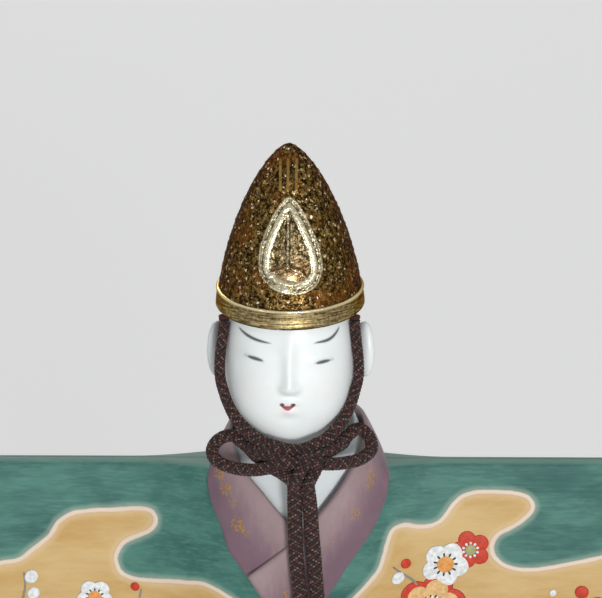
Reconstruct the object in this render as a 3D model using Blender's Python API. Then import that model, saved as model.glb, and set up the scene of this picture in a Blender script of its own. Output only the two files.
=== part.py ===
"""A standing male doll of a hina pair, built as an assembly of separate pieces.

The doll faces -Y, +X is its own left hand side and +Z is up. The origin lies under the middle of
the hem, on the surface that the doll stands on. All sizes are in metres.

The robe and the wide trousers are moulded as front and back halves around a wooden post. The head
turns on a round spigot, and the square foot of the same peg lifts out of a bush in the shoulders.
"""
import math

import bmesh
import bpy
from mathutils import Matrix, Vector
from mathutils.geometry import delaunay_2d_cdt

# Clearances and the fineness of the meshes
GAP = 0.0003
OVERRUN = 0.004
GRID_STEP = 0.0094
MERGE_DISTANCE = 0.00001
ARC_STEPS = 5
ROUND_STEPS = 28

# Robe: a front and a back moulding that meet on the plane Y = 0
SHOULDER_Z = 0.171
ROBE_TOP_Z = 0.1698
CHEST_Z = 0.154
ROBE_BOTTOM_Z = 0.094
ARMPIT_Z = 0.130
SLEEVE_BOTTOM_Z = 0.077
ROBE_HALF_SPAN = 0.112
WAIST_HALF_WIDTH = 0.034
ARMPIT_X = 0.0425
SLEEVE_INNER_X = 0.050
SLEEVE_HALF_THICKNESS = 0.0024
SLEEVE_OUTER_CORNER = 0.018
SLEEVE_INNER_CORNER = 0.006
ARMPIT_CORNER = 0.003
SHOULDER_CORNER = 0.003
ROBE_EDGE_RADIUS = 0.0018
SWELL_STEPS = 8
ROBE_WALL = 0.003
ROBE_TOP_WALL = 0.0036
SHOULDER_SWELL = 0.0076
CHEST_SWELL = 0.0118
SHOULDER_SWELL_HALF_WIDTH = 0.036
CHEST_SWELL_HALF_WIDTH = 0.042
ROBE_CAVITY_HALF_WIDTH = 0.026
ROBE_CAVITY_CORNER = 0.005
ROBE_PIN_RADIUS = 0.0014
ROBE_PIN_LENGTH = 0.0028
ROBE_PIN_X_SHARES = (0.52, 0.84)
ROBE_PIN_Z_SHARES = (0.2, 0.84)

# Sleeve lining that shows between the two mouldings at the cuff
LINING_THICKNESS = 0.0014
LINING_PROUD = 0.0012
LINING_DEPTH = 0.008
LINING_BOTTOM_Z = 0.100
LINING_TOP_Z = 0.165

# Hakama, the wide pleated trousers: a front and a back moulding
HAKAMA_TOP_Z = 0.100
HAKAMA_TUCK_Z = ROBE_BOTTOM_Z - GAP
HEM_Z = 0.0012
HAKAMA_WALL = 0.0032
TUCK_CLEARANCE = 0.0008
HEM_HALF_WIDTH = 0.055
HEM_HALF_DEPTH = 0.030
HEM_SIDE_DEPTH = 0.0052
PLEATS = 7
PLEAT_DEPTH = 0.0016
PLEAT_POINTS = 4
HAKAMA_LEVELS = 8
HAKAMA_PIN_RADIUS = 0.0008
HAKAMA_PIN_LENGTH = 0.007
HAKAMA_PIN_Z_SHARES = (0.16, 0.47, 0.77)

# Waistband and its flat knot
BAND_BOTTOM_Z = 0.0925
BAND_HEIGHT = 0.0078
BAND_THICKNESS = 0.0016
BAND_KNOT_HALF_WIDTH = 0.0065
BAND_KNOT_HALF_HEIGHT = 0.0046
BAND_KNOT_DEPTH = 0.0026
BAND_END_LENGTH = 0.034
BAND_END_WIDTH = 0.0056
BAND_END_SPREAD = 0.006
BAND_END_CLEARANCE = 0.0008

# Base board, its screw and felt pads
BASE_THICKNESS = 0.004
BASE_CLEARANCE = 0.0004
PAD_RADIUS = 0.0050
PAD_X_SHARE = 0.66
PAD_Y_SHARE = 0.52
SCREW_RADIUS = 0.0013
SCREW_HEAD_RADIUS = 0.0028
SCREW_HEAD_HEIGHT = 0.0016
SCREW_LENGTH = 0.016

# Core post and the bush in the shoulders
POST_HALF_WIDTH = 0.008
POST_HALF_DEPTH = 0.006
POST_CHAMFER = 0.0012
BUSH_RADIUS = 0.0080
BUSH_FLANGE_RADIUS = 0.0102
BUSH_FLANGE_HEIGHT = 0.003
BUSH_HEIGHT = 0.016

# Neck peg: a square foot in the bush and a round spigot in the head
FOOT_HALF_WIDTH = 0.0025
FOOT_LENGTH = 0.0145
SPIGOT_RADIUS = 0.0019
SPIGOT_LENGTH = 0.019

# Head, in its own frame: origin in the middle of the hat's rim, tipped forward
HEAD_Y = -0.0015
RIM_Z = 0.2062
HEAD_BOW = math.radians(5)
HEAD_HALF_WIDTH = 0.0148
FACE_DEPTH = 0.0172
NAPE_DEPTH = 0.0148
HEAD_MIDDLE_DROP = 0.0136
JAW_HEIGHT = 0.0170
CROWN_HEIGHT = 0.0262
JAW_POWER = 2.45
CROWN_POWER = 2.2
SECTION_POWER = 2.25
NAPE_RISE = 0.0085
HEAD_SEGMENTS = 32
HEAD_RINGS = 20
NECK_RADIUS = 0.0064
NOSE_HEIGHT = 0.0017
NOSE_HALF_WIDTH = 0.0021
NOSE_TOP_DROP = 0.0045
NOSE_TIP_DROP = 0.0145
NOSE_END = 0.0011
EAR_HALF_HEIGHT = 0.0066
EAR_HALF_DEPTH = 0.0035
EAR_HALF_THICKNESS = 0.0019
EAR_X = 0.0158
EAR_Y = 0.0022
EAR_DROP = 0.0104
EAR_SPLAY = math.radians(24)
EAR_SCOOP_SHARE = 0.62

# Hat: a tall pressed shell with a crest in relief, a rim band and a lining
HAT_HEIGHT = 0.0370
HAT_HALF_WIDTH = 0.0153
HAT_HALF_DEPTH = 0.0174
HAT_WALL = 0.0007
HAT_FOOT_POWER = 1.55
HAT_TIP_POWER = 0.68
HAT_RINGS = 11
HAT_SEGMENTS = 32
CREST_HALF_WIDTH = 0.0066
CREST_SHIFT = 0.0008
CREST_TOP_SHARE = 0.755
CREST_BOTTOM_SHARE = 0.235
CREST_BEAD_RADIUS = 0.00055
CREST_BEAD_POINTS = 22
CREST_SHARPNESS_SHARE = 0.55
CREST_WIDTH_SHARE = 1.18
RIDGE_HALF_WIDTH = 0.0007
RIDGE_POINTS = 6
SEAM_BOTTOM_SHARE = 0.79
SEAM_TOP_SHARE = 0.985
RIM_BAND_HEIGHT = 0.0044
RIM_BAND_THICKNESS = 0.0006
RIM_BEAD_RADIUS = 0.00045
LINING_RING_THICKNESS = 0.0009
LINING_RING_BOTTOM = 0.0045
LINING_RING_TOP = 0.0125

# Chin cord: a soft round braid of one diameter, tied in a bow under the chin
CORD_DIAMETER = 0.0030
CORD_SIDES_RESOLUTION = 2
STRAP_POINTS = 18
LOOP_POINTS = 24
TAIL_POINTS = 14
ANCHOR_HEIGHT = 0.0007
ANCHOR_BULGE = 0.0002
TASSEL_RADIUS = 0.0021
TASSEL_LENGTH = 0.0110

# The cord's routes, chosen by hand from rim to knot and from knot to tassel
LEFT_STRAP_ROUTE = (
    (0.0148, -0.0080, 0.2040), (0.0148, -0.0080, 0.2026), (0.0152, -0.0084, 0.1990),
    (0.0156, -0.0088, 0.1950), (0.0156, -0.0091, 0.1915), (0.0149, -0.0097, 0.1885),
    (0.0139, -0.0108, 0.1855), (0.0122, -0.0124, 0.1830), (0.0101, -0.0143, 0.1810),
    (0.0084, -0.0159, 0.1797), (0.0067, -0.0171, 0.1788),
)
RIGHT_STRAP_ROUTE = (
    (-0.0148, -0.0080, 0.2040), (-0.0148, -0.0080, 0.2026), (-0.0154, -0.0085, 0.1985),
    (-0.0158, -0.0088, 0.1945), (-0.0157, -0.0092, 0.1910), (-0.0149, -0.0099, 0.1880),
    (-0.0138, -0.0110, 0.1854), (-0.0118, -0.0126, 0.1828), (-0.0088, -0.0147, 0.1805),
    (-0.0062, -0.0163, 0.1791), (-0.0045, -0.0172, 0.1784),
)
LEFT_LOOP_ROUTE = (
    (0.0080, -0.0178, 0.1757), (0.0100, -0.0150, 0.1758), (0.0122, -0.0124, 0.1772),
    (0.0148, -0.0108, 0.1788), (0.0172, -0.0112, 0.1774), (0.0179, -0.0134, 0.1750),
    (0.0156, -0.0158, 0.1736), (0.0124, -0.0180, 0.1734), (0.0096, -0.0197, 0.1737),
    (0.0074, -0.0208, 0.1741),
)
RIGHT_LOOP_ROUTE = (
    (-0.0056, -0.0178, 0.1753), (-0.0072, -0.0152, 0.1753), (-0.0094, -0.0130, 0.1768),
    (-0.0125, -0.0116, 0.1787), (-0.0156, -0.0117, 0.1777), (-0.0169, -0.0130, 0.1755),
    (-0.0154, -0.0148, 0.1737), (-0.0118, -0.0166, 0.1729), (-0.0076, -0.0187, 0.1732),
    (-0.0040, -0.0205, 0.1743),
)
LEFT_TAIL_ROUTE = (
    (0.0044, -0.0206, 0.1702), (0.0050, -0.0204, 0.1650), (0.0052, -0.0202, 0.1590),
    (0.0056, -0.0201, 0.1510), (0.0062, -0.0201, 0.1430), (0.0064, -0.0201, 0.1350),
    (0.0062, -0.0202, 0.1270), (0.0060, -0.0203, 0.1200),
)
RIGHT_TAIL_ROUTE = (
    (0.0010, -0.0206, 0.1702), (0.0010, -0.0204, 0.1650), (0.0012, -0.0202, 0.1590),
    (0.0018, -0.0201, 0.1510), (0.0026, -0.0201, 0.1430), (0.0025, -0.0201, 0.1350),
    (0.0015, -0.0202, 0.1270), (0.0006, -0.0203, 0.1200),
)
KNOT_CENTRE = (0.0018, -0.0193, 0.1762)
KNOT_HALF_WIDTH = 0.0048
KNOT_HALF_DEPTH = 0.0025
KNOT_HALF_HEIGHT = 0.0030
WRAP_HALF_WIDTH = 0.0029
WRAP_HALF_DEPTH = 0.0027
WRAP_HALF_HEIGHT = 0.0042
WRAP_DROP = 0.0016
WRAP_SHIFT = 0.0014
WRAP_FORWARD = 0.0011

# Collars: places are shares of these sizes, measured from the middle of the neckline
NECKLINE_SHIFT = 0.0016
COLLAR_HALF_WIDTH = 0.0205
COLLAR_DEPTH = 0.0170
COLLAR_DROP = 0.0385
MAUVE_FOOT_LIFT = 0.0007
MAUVE_LIP_LIFT = 0.0009
MAUVE_PUFF = 0.0009
WHITE_FOOT_LIFT = 0.0004
WHITE_LIP_LIFT = 0.0007
WHITE_PUFF = 0.0002
COLLAR_SINK = 0.0032
COLLAR_STEPS = 5

# Each row: lip across, lip forward, lip up, foot across, foot forward, foot up, how deep it sinks.
# Across is a share of COLLAR_HALF_WIDTH, forward of COLLAR_DEPTH, up of COLLAR_DROP.
MAUVE_BACK_SHARES = (
    (0.00, -0.759, 0.260, 0.00, -0.735, -0.046, 0.0),
    (0.40, -0.659, 0.255, 0.51, -0.647, -0.046, 0.0),
    (0.66, -0.324, 0.223, 0.86, -0.388, -0.046, 0.0),
    (0.71, 0.059, 0.164, 1.00, 0.088, -0.062, 0.3),
    (0.66, 0.400, 0.091, 1.00, 0.412, -0.109, 0.6),
    (0.55, 0.647, -0.016, 0.95, 0.518, -0.221, 1.0),
    (0.37, 0.810, -0.130, 0.815, 0.645, -0.358, 1.0),
)
MAUVE_UNDER_SHARES = MAUVE_BACK_SHARES + (
    (0.19, 0.930, -0.252, 0.705, 0.755, -0.494, 1.0),
    (0.012, 0.975, -0.325, 0.56, 0.805, -0.560, 1.0),
)
MAUVE_OVER_SHARES = MAUVE_BACK_SHARES + (
    (0.19, 0.930, -0.252, 0.644, 0.755, -0.494, 1.0),
    (0.05, 0.990, -0.358, 0.512, 0.835, -0.590, 1.0),
    (-0.155, 0.995, -0.449, 0.273, 0.875, -0.784, 1.0),
    (-0.449, 0.890, -0.590, 0.00, 0.885, -0.992, 1.0),
)
WHITE_SHARES = (
    (0.00, -0.671, 0.250, 0.00, -0.635, -0.046, 0.0),
    (0.36, -0.576, 0.245, 0.44, -0.547, -0.046, 0.0),
    (0.59, -0.271, 0.213, 0.74, -0.306, -0.046, 0.0),
    (0.62, 0.071, 0.151, 0.82, 0.094, -0.057, 0.3),
    (0.54, 0.388, 0.078, 0.77, 0.412, -0.100, 0.6),
    (0.30, 0.560, 0.040, 0.65, 0.588, -0.150, 1.0),
    (0.06, 0.650, 0.000, 0.49, 0.715, -0.240, 1.0),
    (0.0075, 0.790, -0.150, 0.31, 0.800, -0.340, 1.0),
    (0.0075, 0.890, -0.290, 0.09, 0.880, -0.420, 1.0),
)

COLOURS = {
    "teal robe": ((0.16, 0.36, 0.31), 0.75, 0.0),
    "mauve collar": ((0.36, 0.24, 0.29), 0.7, 0.0),
    "white collar": ((0.80, 0.82, 0.82), 0.65, 0.0),
    "white skin": ((0.86, 0.88, 0.88), 0.45, 0.0),
    "gold leaf": ((0.62, 0.43, 0.14), 0.3, 1.0),
    "brown cord": ((0.06, 0.025, 0.02), 0.85, 0.0),
    "ochre hakama": ((0.62, 0.47, 0.24), 0.75, 0.0),
    "bare wood": ((0.60, 0.44, 0.27), 0.7, 0.0),
    "black felt": ((0.03, 0.03, 0.03), 0.95, 0.0),
    "steel": ((0.55, 0.55, 0.55), 0.35, 1.0),
}


def clear_scene():
    """Start from an empty scene."""
    for old in list(bpy.data.objects):
        bpy.data.objects.remove(old, do_unlink=True)


def material(name):
    """The finish of a piece, as one Principled material."""
    found = bpy.data.materials.get(name)
    if found:
        return found
    colour, roughness, metallic = COLOURS[name]
    made = bpy.data.materials.new(name)
    made.use_nodes = True
    shader = made.node_tree.nodes["Principled BSDF"]
    shader.inputs["Base Color"].default_value = (*colour, 1.0)
    shader.inputs["Roughness"].default_value = roughness
    shader.inputs["Metallic"].default_value = metallic
    return made


def solid(name, points, faces, finish, holder=None):
    """One closed mesh object, with its faces turned outward."""
    bm = bmesh.new()
    corners = [bm.verts.new(point) for point in points]
    for face in faces:
        bm.faces.new([corners[index] for index in face])
    bmesh.ops.recalc_face_normals(bm, faces=bm.faces)
    mesh = bpy.data.meshes.new(name)
    bm.to_mesh(mesh)
    bm.free()
    made = bpy.data.objects.new(name, mesh)
    bpy.context.scene.collection.objects.link(made)
    made.data.materials.append(material(finish))
    if holder:
        made.parent = holder
        made.matrix_parent_inverse = Matrix.Translation(-holder.location)
    return made


def axis_empty(name, place):
    """An empty that marks a joint and carries what moves with it."""
    made = bpy.data.objects.new(name, None)
    made.location = place
    bpy.context.scene.collection.objects.link(made)
    return made


def smooth(made, angle=math.radians(35)):
    """Round pieces are shaded smooth, with their real edges kept sharp."""
    made.data.shade_smooth()
    made.data.set_sharp_from_angle(angle=angle)


def join(target, other, operation):
    """Boolean the other piece out of, or onto, the target and bake the result."""
    cut = target.modifiers.new("fit", "BOOLEAN")
    cut.operation = operation
    cut.solver = "EXACT"
    cut.use_self = operation == "UNION"
    cut.object = other
    depsgraph = bpy.context.evaluated_depsgraph_get()
    mesh = bpy.data.meshes.new_from_object(target.evaluated_get(depsgraph))
    target.modifiers.clear()
    target.data = mesh
    bpy.data.objects.remove(other, do_unlink=True)


def cut_away(target, *cutters):
    """Take each cutter out of the target."""
    for cutter in cutters:
        join(target, cutter, "DIFFERENCE")


def loft(rings, caps=True, wrap=True):
    """Faces between rings of equal length, and the faces that close both ends."""
    count = len(rings[0])
    points = [point for ring in rings for point in ring]
    faces = []
    for level in range(len(rings) - 1):
        low = level * count
        high = low + count
        for index in range(count if wrap else count - 1):
            after = (index + 1) % count
            faces.append((low + index, low + after, high + after, high + index))
    if caps:
        faces.append(tuple(reversed(range(count))))
        last = (len(rings) - 1) * count
        faces.append(tuple(range(last, last + count)))
    return points, faces


def pole_loft(rings, first, last):
    """A loft whose two ends run in to single points."""
    points, faces = loft(rings, caps=False)
    count = len(rings[0])
    start = len(points)
    points = points + [first, last]
    top = (len(rings) - 1) * count
    for index in range(count):
        after = (index + 1) % count
        faces.append((start, after, index))
        faces.append((start + 1, top + index, top + after))
    return points, faces


def turned(name, profile, centre, finish, holder=None, steps=ROUND_STEPS):
    """A round piece about a vertical line, from (radius, height) pairs, bottom to top."""
    rings = []
    for radius, height in profile:
        ring = []
        for step in range(steps):
            angle = math.tau * step / steps
            ring.append(Vector((centre[0] + radius * math.cos(angle),
                                centre[1] + radius * math.sin(angle), height)))
        rings.append(ring)
    made = solid(name, *loft(rings), finish, holder)
    smooth(made)
    return made


def box(name, low, high, finish, chamfer=0.0, holder=None):
    """A box whose four upright edges may be chamfered."""
    corners = ((low[0], low[1], 1, 0), (high[0], low[1], 0, 1),
               (high[0], high[1], -1, 0), (low[0], high[1], 0, -1))
    plan = []
    for x, y, along_x, along_y in corners:
        if chamfer:
            before = Vector((x - along_y * chamfer, y + along_x * chamfer))
            after = Vector((x + along_x * chamfer, y + along_y * chamfer))
            plan.extend((before, after))
        else:
            plan.append(Vector((x, y)))
    rings = [[Vector((p.x, p.y, z)) for p in plan] for z in (low[2], high[2])]
    return solid(name, *loft(rings), finish, holder)


def bar_along_y(name, centre, radius, length, finish, steps=12):
    """A round bar along Y, centred on a point."""
    rings = []
    for end in (-0.5, 0.5):
        ring = []
        for step in range(steps):
            angle = math.tau * step / steps
            ring.append(Vector((centre[0] + radius * math.cos(angle), centre[1] + end * length,
                                centre[2] + radius * math.sin(angle))))
        rings.append(ring)
    return solid(name, *loft(rings), finish)


def ellipsoid(name, centre, halves, finish, steps=16, holder=None, turn=None):
    """A round lump with three half sizes, which may be turned by a matrix."""
    rings = []
    levels = steps // 2
    for level in range(1, levels):
        rise = math.pi * level / levels
        ring = []
        for step in range(steps):
            angle = math.tau * step / steps
            ring.append(Vector((halves[0] * math.sin(rise) * math.cos(angle),
                                halves[1] * math.sin(rise) * math.sin(angle),
                                -halves[2] * math.cos(rise))))
        rings.append(ring)
    points, faces = pole_loft(rings, Vector((0, 0, -halves[2])), Vector((0, 0, halves[2])))
    if turn:
        points = [turn @ point for point in points]
    points = [point + Vector(centre) for point in points]
    made = solid(name, points, faces, finish, holder)
    smooth(made)
    return made


def smoothstep(share):
    """A share from 0 to 1 that starts and ends level."""
    share = min(max(share, 0.0), 1.0)
    return share * share * (3 - 2 * share)


def mix(first, second, share):
    return first + (second - first) * share


def rounded_outline(corners):
    """An outline in (x, z) from corners given as (x, z, rounding)."""
    outline = []
    count = len(corners)
    for index, (x, z, rounding) in enumerate(corners):
        corner = Vector((x, z))
        if not rounding:
            outline.append(corner)
            continue
        before = Vector(corners[index - 1][:2]) - corner
        after = Vector(corners[(index + 1) % count][:2]) - corner
        start = corner + before.normalized() * rounding
        end = corner + after.normalized() * rounding
        for step in range(ARC_STEPS + 1):
            share = step / ARC_STEPS
            outline.append(start.lerp(corner, share).lerp(corner.lerp(end, share), share))
    return outline


def inset_outline(outline, distance):
    """The outline moved inward by a distance that is small beside its corners."""
    moved = []
    for index, point in enumerate(outline):
        before = (point - outline[index - 1]).normalized()
        after = (outline[(index + 1) % len(outline)] - point).normalized()
        inward = Vector((-before.y, before.x)) + Vector((-after.y, after.x))
        inward.normalize()
        spread = max(inward.dot(Vector((-before.y, before.x))), 0.5)
        moved.append(point + inward * (distance / spread))
    return moved


def depth_inside(point, outline):
    """How far inside the outline a point lies; negative outside."""
    inside = False
    nearest = None
    for index, start in enumerate(outline):
        end = outline[(index + 1) % len(outline)]
        run = end - start
        share = min(max((point - start).dot(run) / run.length_squared, 0.0), 1.0)
        away = (point - start - run * share).length
        nearest = away if nearest is None else min(nearest, away)
        if (start.y > point.y) != (end.y > point.y):
            crossing = start.x + run.x * (point.y - start.y) / run.y
            if point.x < crossing:
                inside = not inside
    return nearest if inside else -nearest


def relief(name, outline, height, side, flat, edge, finish):
    """A moulding with a flat back on the plane y = side * flat and a shaped, round-edged face.

    The outline runs counter-clockwise in (x, z). The height is measured from the plane Y = 0.
    """
    turns = (0.0, 0.4, 1.0) if edge else (1.0,)
    rings = [[(point, flat) for point in outline]]
    for turn in turns:
        angle = turn * math.pi / 2
        inward = edge * (1 - math.cos(angle))
        drop = edge * (1 - math.sin(angle))
        ring = inset_outline(outline, inward) if inward else outline
        rings.append([(point, height(point.x, point.y) - drop) for point in ring])
    border = [point for point, rise in rings.pop()]
    left = min(point.x for point in outline)
    right = max(point.x for point in outline)
    bottom = min(point.y for point in outline)
    top = max(point.y for point in outline)
    columns = max(round((right - left) / GRID_STEP), 2)
    rows = max(round((top - bottom) / GRID_STEP), 2)
    inner = []
    for column in range(1, columns):
        for row in range(1, rows):
            spot = Vector((mix(left, right, column / columns), mix(bottom, top, row / rows)))
            if depth_inside(spot, border) > GRID_STEP * 0.45:
                inner.append(spot)
    count = len(border)
    found = delaunay_2d_cdt(border + inner, [], [list(range(count))], 1, MERGE_DISTANCE)
    flat_points, _, triangles, sources = found[:4]
    points = [Vector((point.x, side * rise, point.y)) for ring in rings for point, rise in ring]
    faces = []
    for level in range(len(rings) - 1):
        for index in range(count):
            after = (index + 1) % count
            faces.append((level * count + index, level * count + after,
                          (level + 1) * count + after, (level + 1) * count + index))
    base = len(points)
    slot = {}
    for number, point in enumerate(flat_points):
        points.append(Vector((point.x, side * height(point.x, point.y), point.y)))
        for source in sources[number]:
            slot[source] = base + number
    last = (len(rings) - 1) * count
    for index in range(count):
        after = (index + 1) % count
        faces.append((last + index, last + after, slot[after], slot[index]))
    for triangle in triangles:
        faces.append(tuple(base + corner for corner in triangle))
    faces.append(tuple(reversed(range(count))))
    return solid(name, points, faces, finish)


# Robe

def robe_height(x, z):
    """How far the robe's surface stands from the plane Y = 0, front and back alike."""
    down = smoothstep((ROBE_TOP_Z - z) / (ROBE_TOP_Z - CHEST_Z))
    swell = mix(SHOULDER_SWELL, CHEST_SWELL, down)
    half_width = mix(SHOULDER_SWELL_HALF_WIDTH, CHEST_SWELL_HALF_WIDTH, down)
    low = smoothstep((CHEST_Z - z) / (CHEST_Z - HAKAMA_TOP_Z))
    half_width = mix(half_width, WAIST_HALF_WIDTH, low)
    across = min(abs(x) / half_width, 1.0)
    return SLEEVE_HALF_THICKNESS + swell * math.cos(across * math.pi / 2) ** 2


def robe_outline():
    """The outline of the robe with both sleeves, counter-clockwise from the waist."""
    right = (
        (WAIST_HALF_WIDTH, ROBE_BOTTOM_Z, 0),
        (WAIST_HALF_WIDTH, HAKAMA_TOP_Z + OVERRUN, 0),
        (ARMPIT_X, ARMPIT_Z, ARMPIT_CORNER),
        (SLEEVE_INNER_X, SLEEVE_BOTTOM_Z, SLEEVE_INNER_CORNER),
        (ROBE_HALF_SPAN, SLEEVE_BOTTOM_Z, SLEEVE_OUTER_CORNER),
        (ROBE_HALF_SPAN, ROBE_TOP_Z, SHOULDER_CORNER),
    )
    left = [(-x, z, rounding) for x, z, rounding in reversed(right)]
    shares = [step / SWELL_STEPS for step in range(1, SWELL_STEPS)]
    top = [(mix(CHEST_SWELL_HALF_WIDTH, -CHEST_SWELL_HALF_WIDTH, share), ROBE_TOP_Z, 0)
           for share in [0.0] + shares + [1.0]]
    bottom = [(mix(-WAIST_HALF_WIDTH, WAIST_HALF_WIDTH, share), ROBE_BOTTOM_Z, 0) for share in shares]
    return rounded_outline(list(right) + top + left + bottom)


def robe_form(name, side, flat):
    """One moulding's full form, solid from its face to its parting plane."""
    return relief(name, robe_outline(), robe_height, side, flat, ROBE_EDGE_RADIUS, "teal robe")


def robe_cavity(side):
    """The hollow behind the chest, open at the waist."""
    low = ROBE_BOTTOM_Z - OVERRUN
    high = ROBE_TOP_Z - ROBE_TOP_WALL
    half = ROBE_CAVITY_HALF_WIDTH
    shares = [step / SWELL_STEPS for step in range(1, SWELL_STEPS)]
    bottom = [(mix(-half, half, share), low, 0) for share in shares]
    top = [(mix(half, -half, share), high, 0) for share in shares[1:-1]]
    right = [(half, low, 0), (half, high, ROBE_CAVITY_CORNER)]
    left = [(-half, high, ROBE_CAVITY_CORNER)]
    outline = rounded_outline([(-half, low, 0)] + bottom + right + top + left)

    def hollow(x, z):
        return robe_height(x, z) - ROBE_WALL

    return relief("cavity", outline, hollow, side, -OVERRUN, 0.0, "teal robe")


def robe_pin_places():
    """Where the pins join the two mouldings, in both sleeves."""
    places = []
    for side in (-1, 1):
        for x_share in ROBE_PIN_X_SHARES:
            for z_share in ROBE_PIN_Z_SHARES:
                z = mix(SLEEVE_BOTTOM_Z, ROBE_TOP_Z, z_share)
                places.append((side * ROBE_HALF_SPAN * x_share, 0.0, z))
    return places


def lining_cutter(side, grow):
    """The flat form of a sleeve lining, grown by a clearance for its slot."""
    half = LINING_THICKNESS / 2 + grow
    inner = ROBE_HALF_SPAN - LINING_DEPTH - grow
    outer = ROBE_HALF_SPAN + LINING_PROUD + (OVERRUN if grow else 0.0)
    low = (min(side * inner, side * outer), -half, LINING_BOTTOM_Z - grow)
    high = (max(side * inner, side * outer), half, LINING_TOP_Z + grow)
    return box("lining form", low, high, "mauve collar")


def make_robe():
    """The front and back mouldings, the pins between them and the linings at the cuffs."""
    for name, side in (("robe_front", -1), ("robe_back", 1)):
        half = robe_form(name, side, GAP / 2)
        bush_step = SHOULDER_Z - BUSH_HEIGHT + BUSH_FLANGE_HEIGHT
        neck_hole = turned("neck hole", ((BUSH_RADIUS + GAP, bush_step),
                                         (BUSH_RADIUS + GAP, SHOULDER_Z + OVERRUN)),
                           (0.0, 0.0), "teal robe")
        cut_away(half, robe_cavity(side), neck_hole)
        cut_away(half, lining_cutter(-1, GAP), lining_cutter(1, GAP))
        for place in robe_pin_places():
            cut_away(half, bar_along_y("pin hole", place, ROBE_PIN_RADIUS + GAP,
                                       ROBE_PIN_LENGTH + 2 * GAP, "teal robe"))
        smooth(half)
    make_pins("robe_pin", robe_pin_places(), ROBE_PIN_RADIUS, ROBE_PIN_LENGTH)
    for name, side in (("sleeve_lining_left", 1), ("sleeve_lining_right", -1)):
        lining = lining_cutter(side, 0.0)
        lining.name = name
        rounding = lining.modifiers.new("soft edge", "BEVEL")
        rounding.width = LINING_THICKNESS / 4
        rounding.segments = 2


def make_pins(name, places, radius, length):
    """Identical pins along Y, each its own piece, numbered from one."""
    for number, place in enumerate(places, 1):
        pin = bar_along_y(f"{name}_{number}", place, radius, length, "bare wood")
        smooth(pin)


# Hakama

def hakama_section(z, side, inset, pleated):
    """Half of the hakama's cross section, from -X round to +X, as points on one level."""
    down = max((HAKAMA_TUCK_Z - z) / (HAKAMA_TUCK_Z - HEM_Z), 0.0)
    top_half_width = WAIST_HALF_WIDTH + TUCK_CLEARANCE + HAKAMA_WALL
    top_side_depth = SLEEVE_HALF_THICKNESS + TUCK_CLEARANCE + HAKAMA_WALL
    half_width = mix(top_half_width, HEM_HALF_WIDTH, down ** 0.9) - inset
    hem_depth = mix(top_side_depth + CHEST_SWELL, HEM_HALF_DEPTH, down ** 0.8)
    side_depth = mix(top_side_depth, HEM_SIDE_DEPTH, down) - inset
    blend = smoothstep(down * 1.6)
    count = PLEATS * PLEAT_POINTS
    points = [Vector((-half_width, side * GAP / 2, z))]
    for index in range(count + 1):
        across = mix(-1.0, 1.0, index / count)
        reach = math.sin(across * math.pi / 2)
        lens = side_depth + CHEST_SWELL * math.cos(reach * math.pi / 2) ** 2
        bell = side_depth + (hem_depth - inset - side_depth) * math.cos(across * math.pi / 2) ** 0.9
        depth = mix(lens, bell, blend)
        if pleated:
            fold = abs(math.sin(PLEATS * across * math.pi / 2))
            fade = math.cos(across * math.pi / 2)
            depth += PLEAT_DEPTH * (fold - 0.5) * fade * smoothstep(down * 2)
        points.append(Vector((half_width * reach, side * depth, z)))
    points.append(Vector((half_width, side * GAP / 2, z)))
    return points


def hakama_levels():
    """Heights of the cross sections: straight where the robe is tucked in, then flaring."""
    steps = HAKAMA_LEVELS - 1
    return [HAKAMA_TOP_Z] + [mix(HAKAMA_TUCK_Z, HEM_Z, (level / steps) ** 0.8)
                             for level in range(HAKAMA_LEVELS)]


def hakama_pin_places():
    places = []
    for z_share in HAKAMA_PIN_Z_SHARES:
        z = mix(HEM_Z, HAKAMA_TOP_Z, z_share)
        edge = hakama_section(z, 1, HAKAMA_WALL / 2, False)[-1].x
        places.extend(((-edge, 0.0, z), (edge, 0.0, z)))
    return places


def make_hakama():
    """The pleated front moulding, the plainer back one and the pins between them."""
    for name, side in (("hakama_front", -1), ("hakama_back", 1)):
        rings = []
        for z in hakama_levels():
            outer = hakama_section(z, side, 0.0, True)
            inner = hakama_section(z, side, HAKAMA_WALL, False)
            rings.append(outer + list(reversed(inner)))
        half = solid(name, *loft(rings), "ochre hakama")
        for place in hakama_pin_places():
            cut_away(half, bar_along_y("pin hole", place, HAKAMA_PIN_RADIUS + GAP,
                                       HAKAMA_PIN_LENGTH + 2 * GAP, "ochre hakama"))
        smooth(half)
    make_pins("hakama_pin", hakama_pin_places(), HAKAMA_PIN_RADIUS, HAKAMA_PIN_LENGTH)


def band_ring(z, inset):
    """The whole cross section of the hakama's top, as one closed ring."""
    level = min(z, HAKAMA_TOP_Z)
    front = hakama_section(level, -1, inset, False)[1:-1]
    back = hakama_section(level, 1, inset, False)[1:-1]
    ring = front + list(reversed(back))
    return [Vector((point.x, point.y, z)) for point in ring[::2]]


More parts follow.
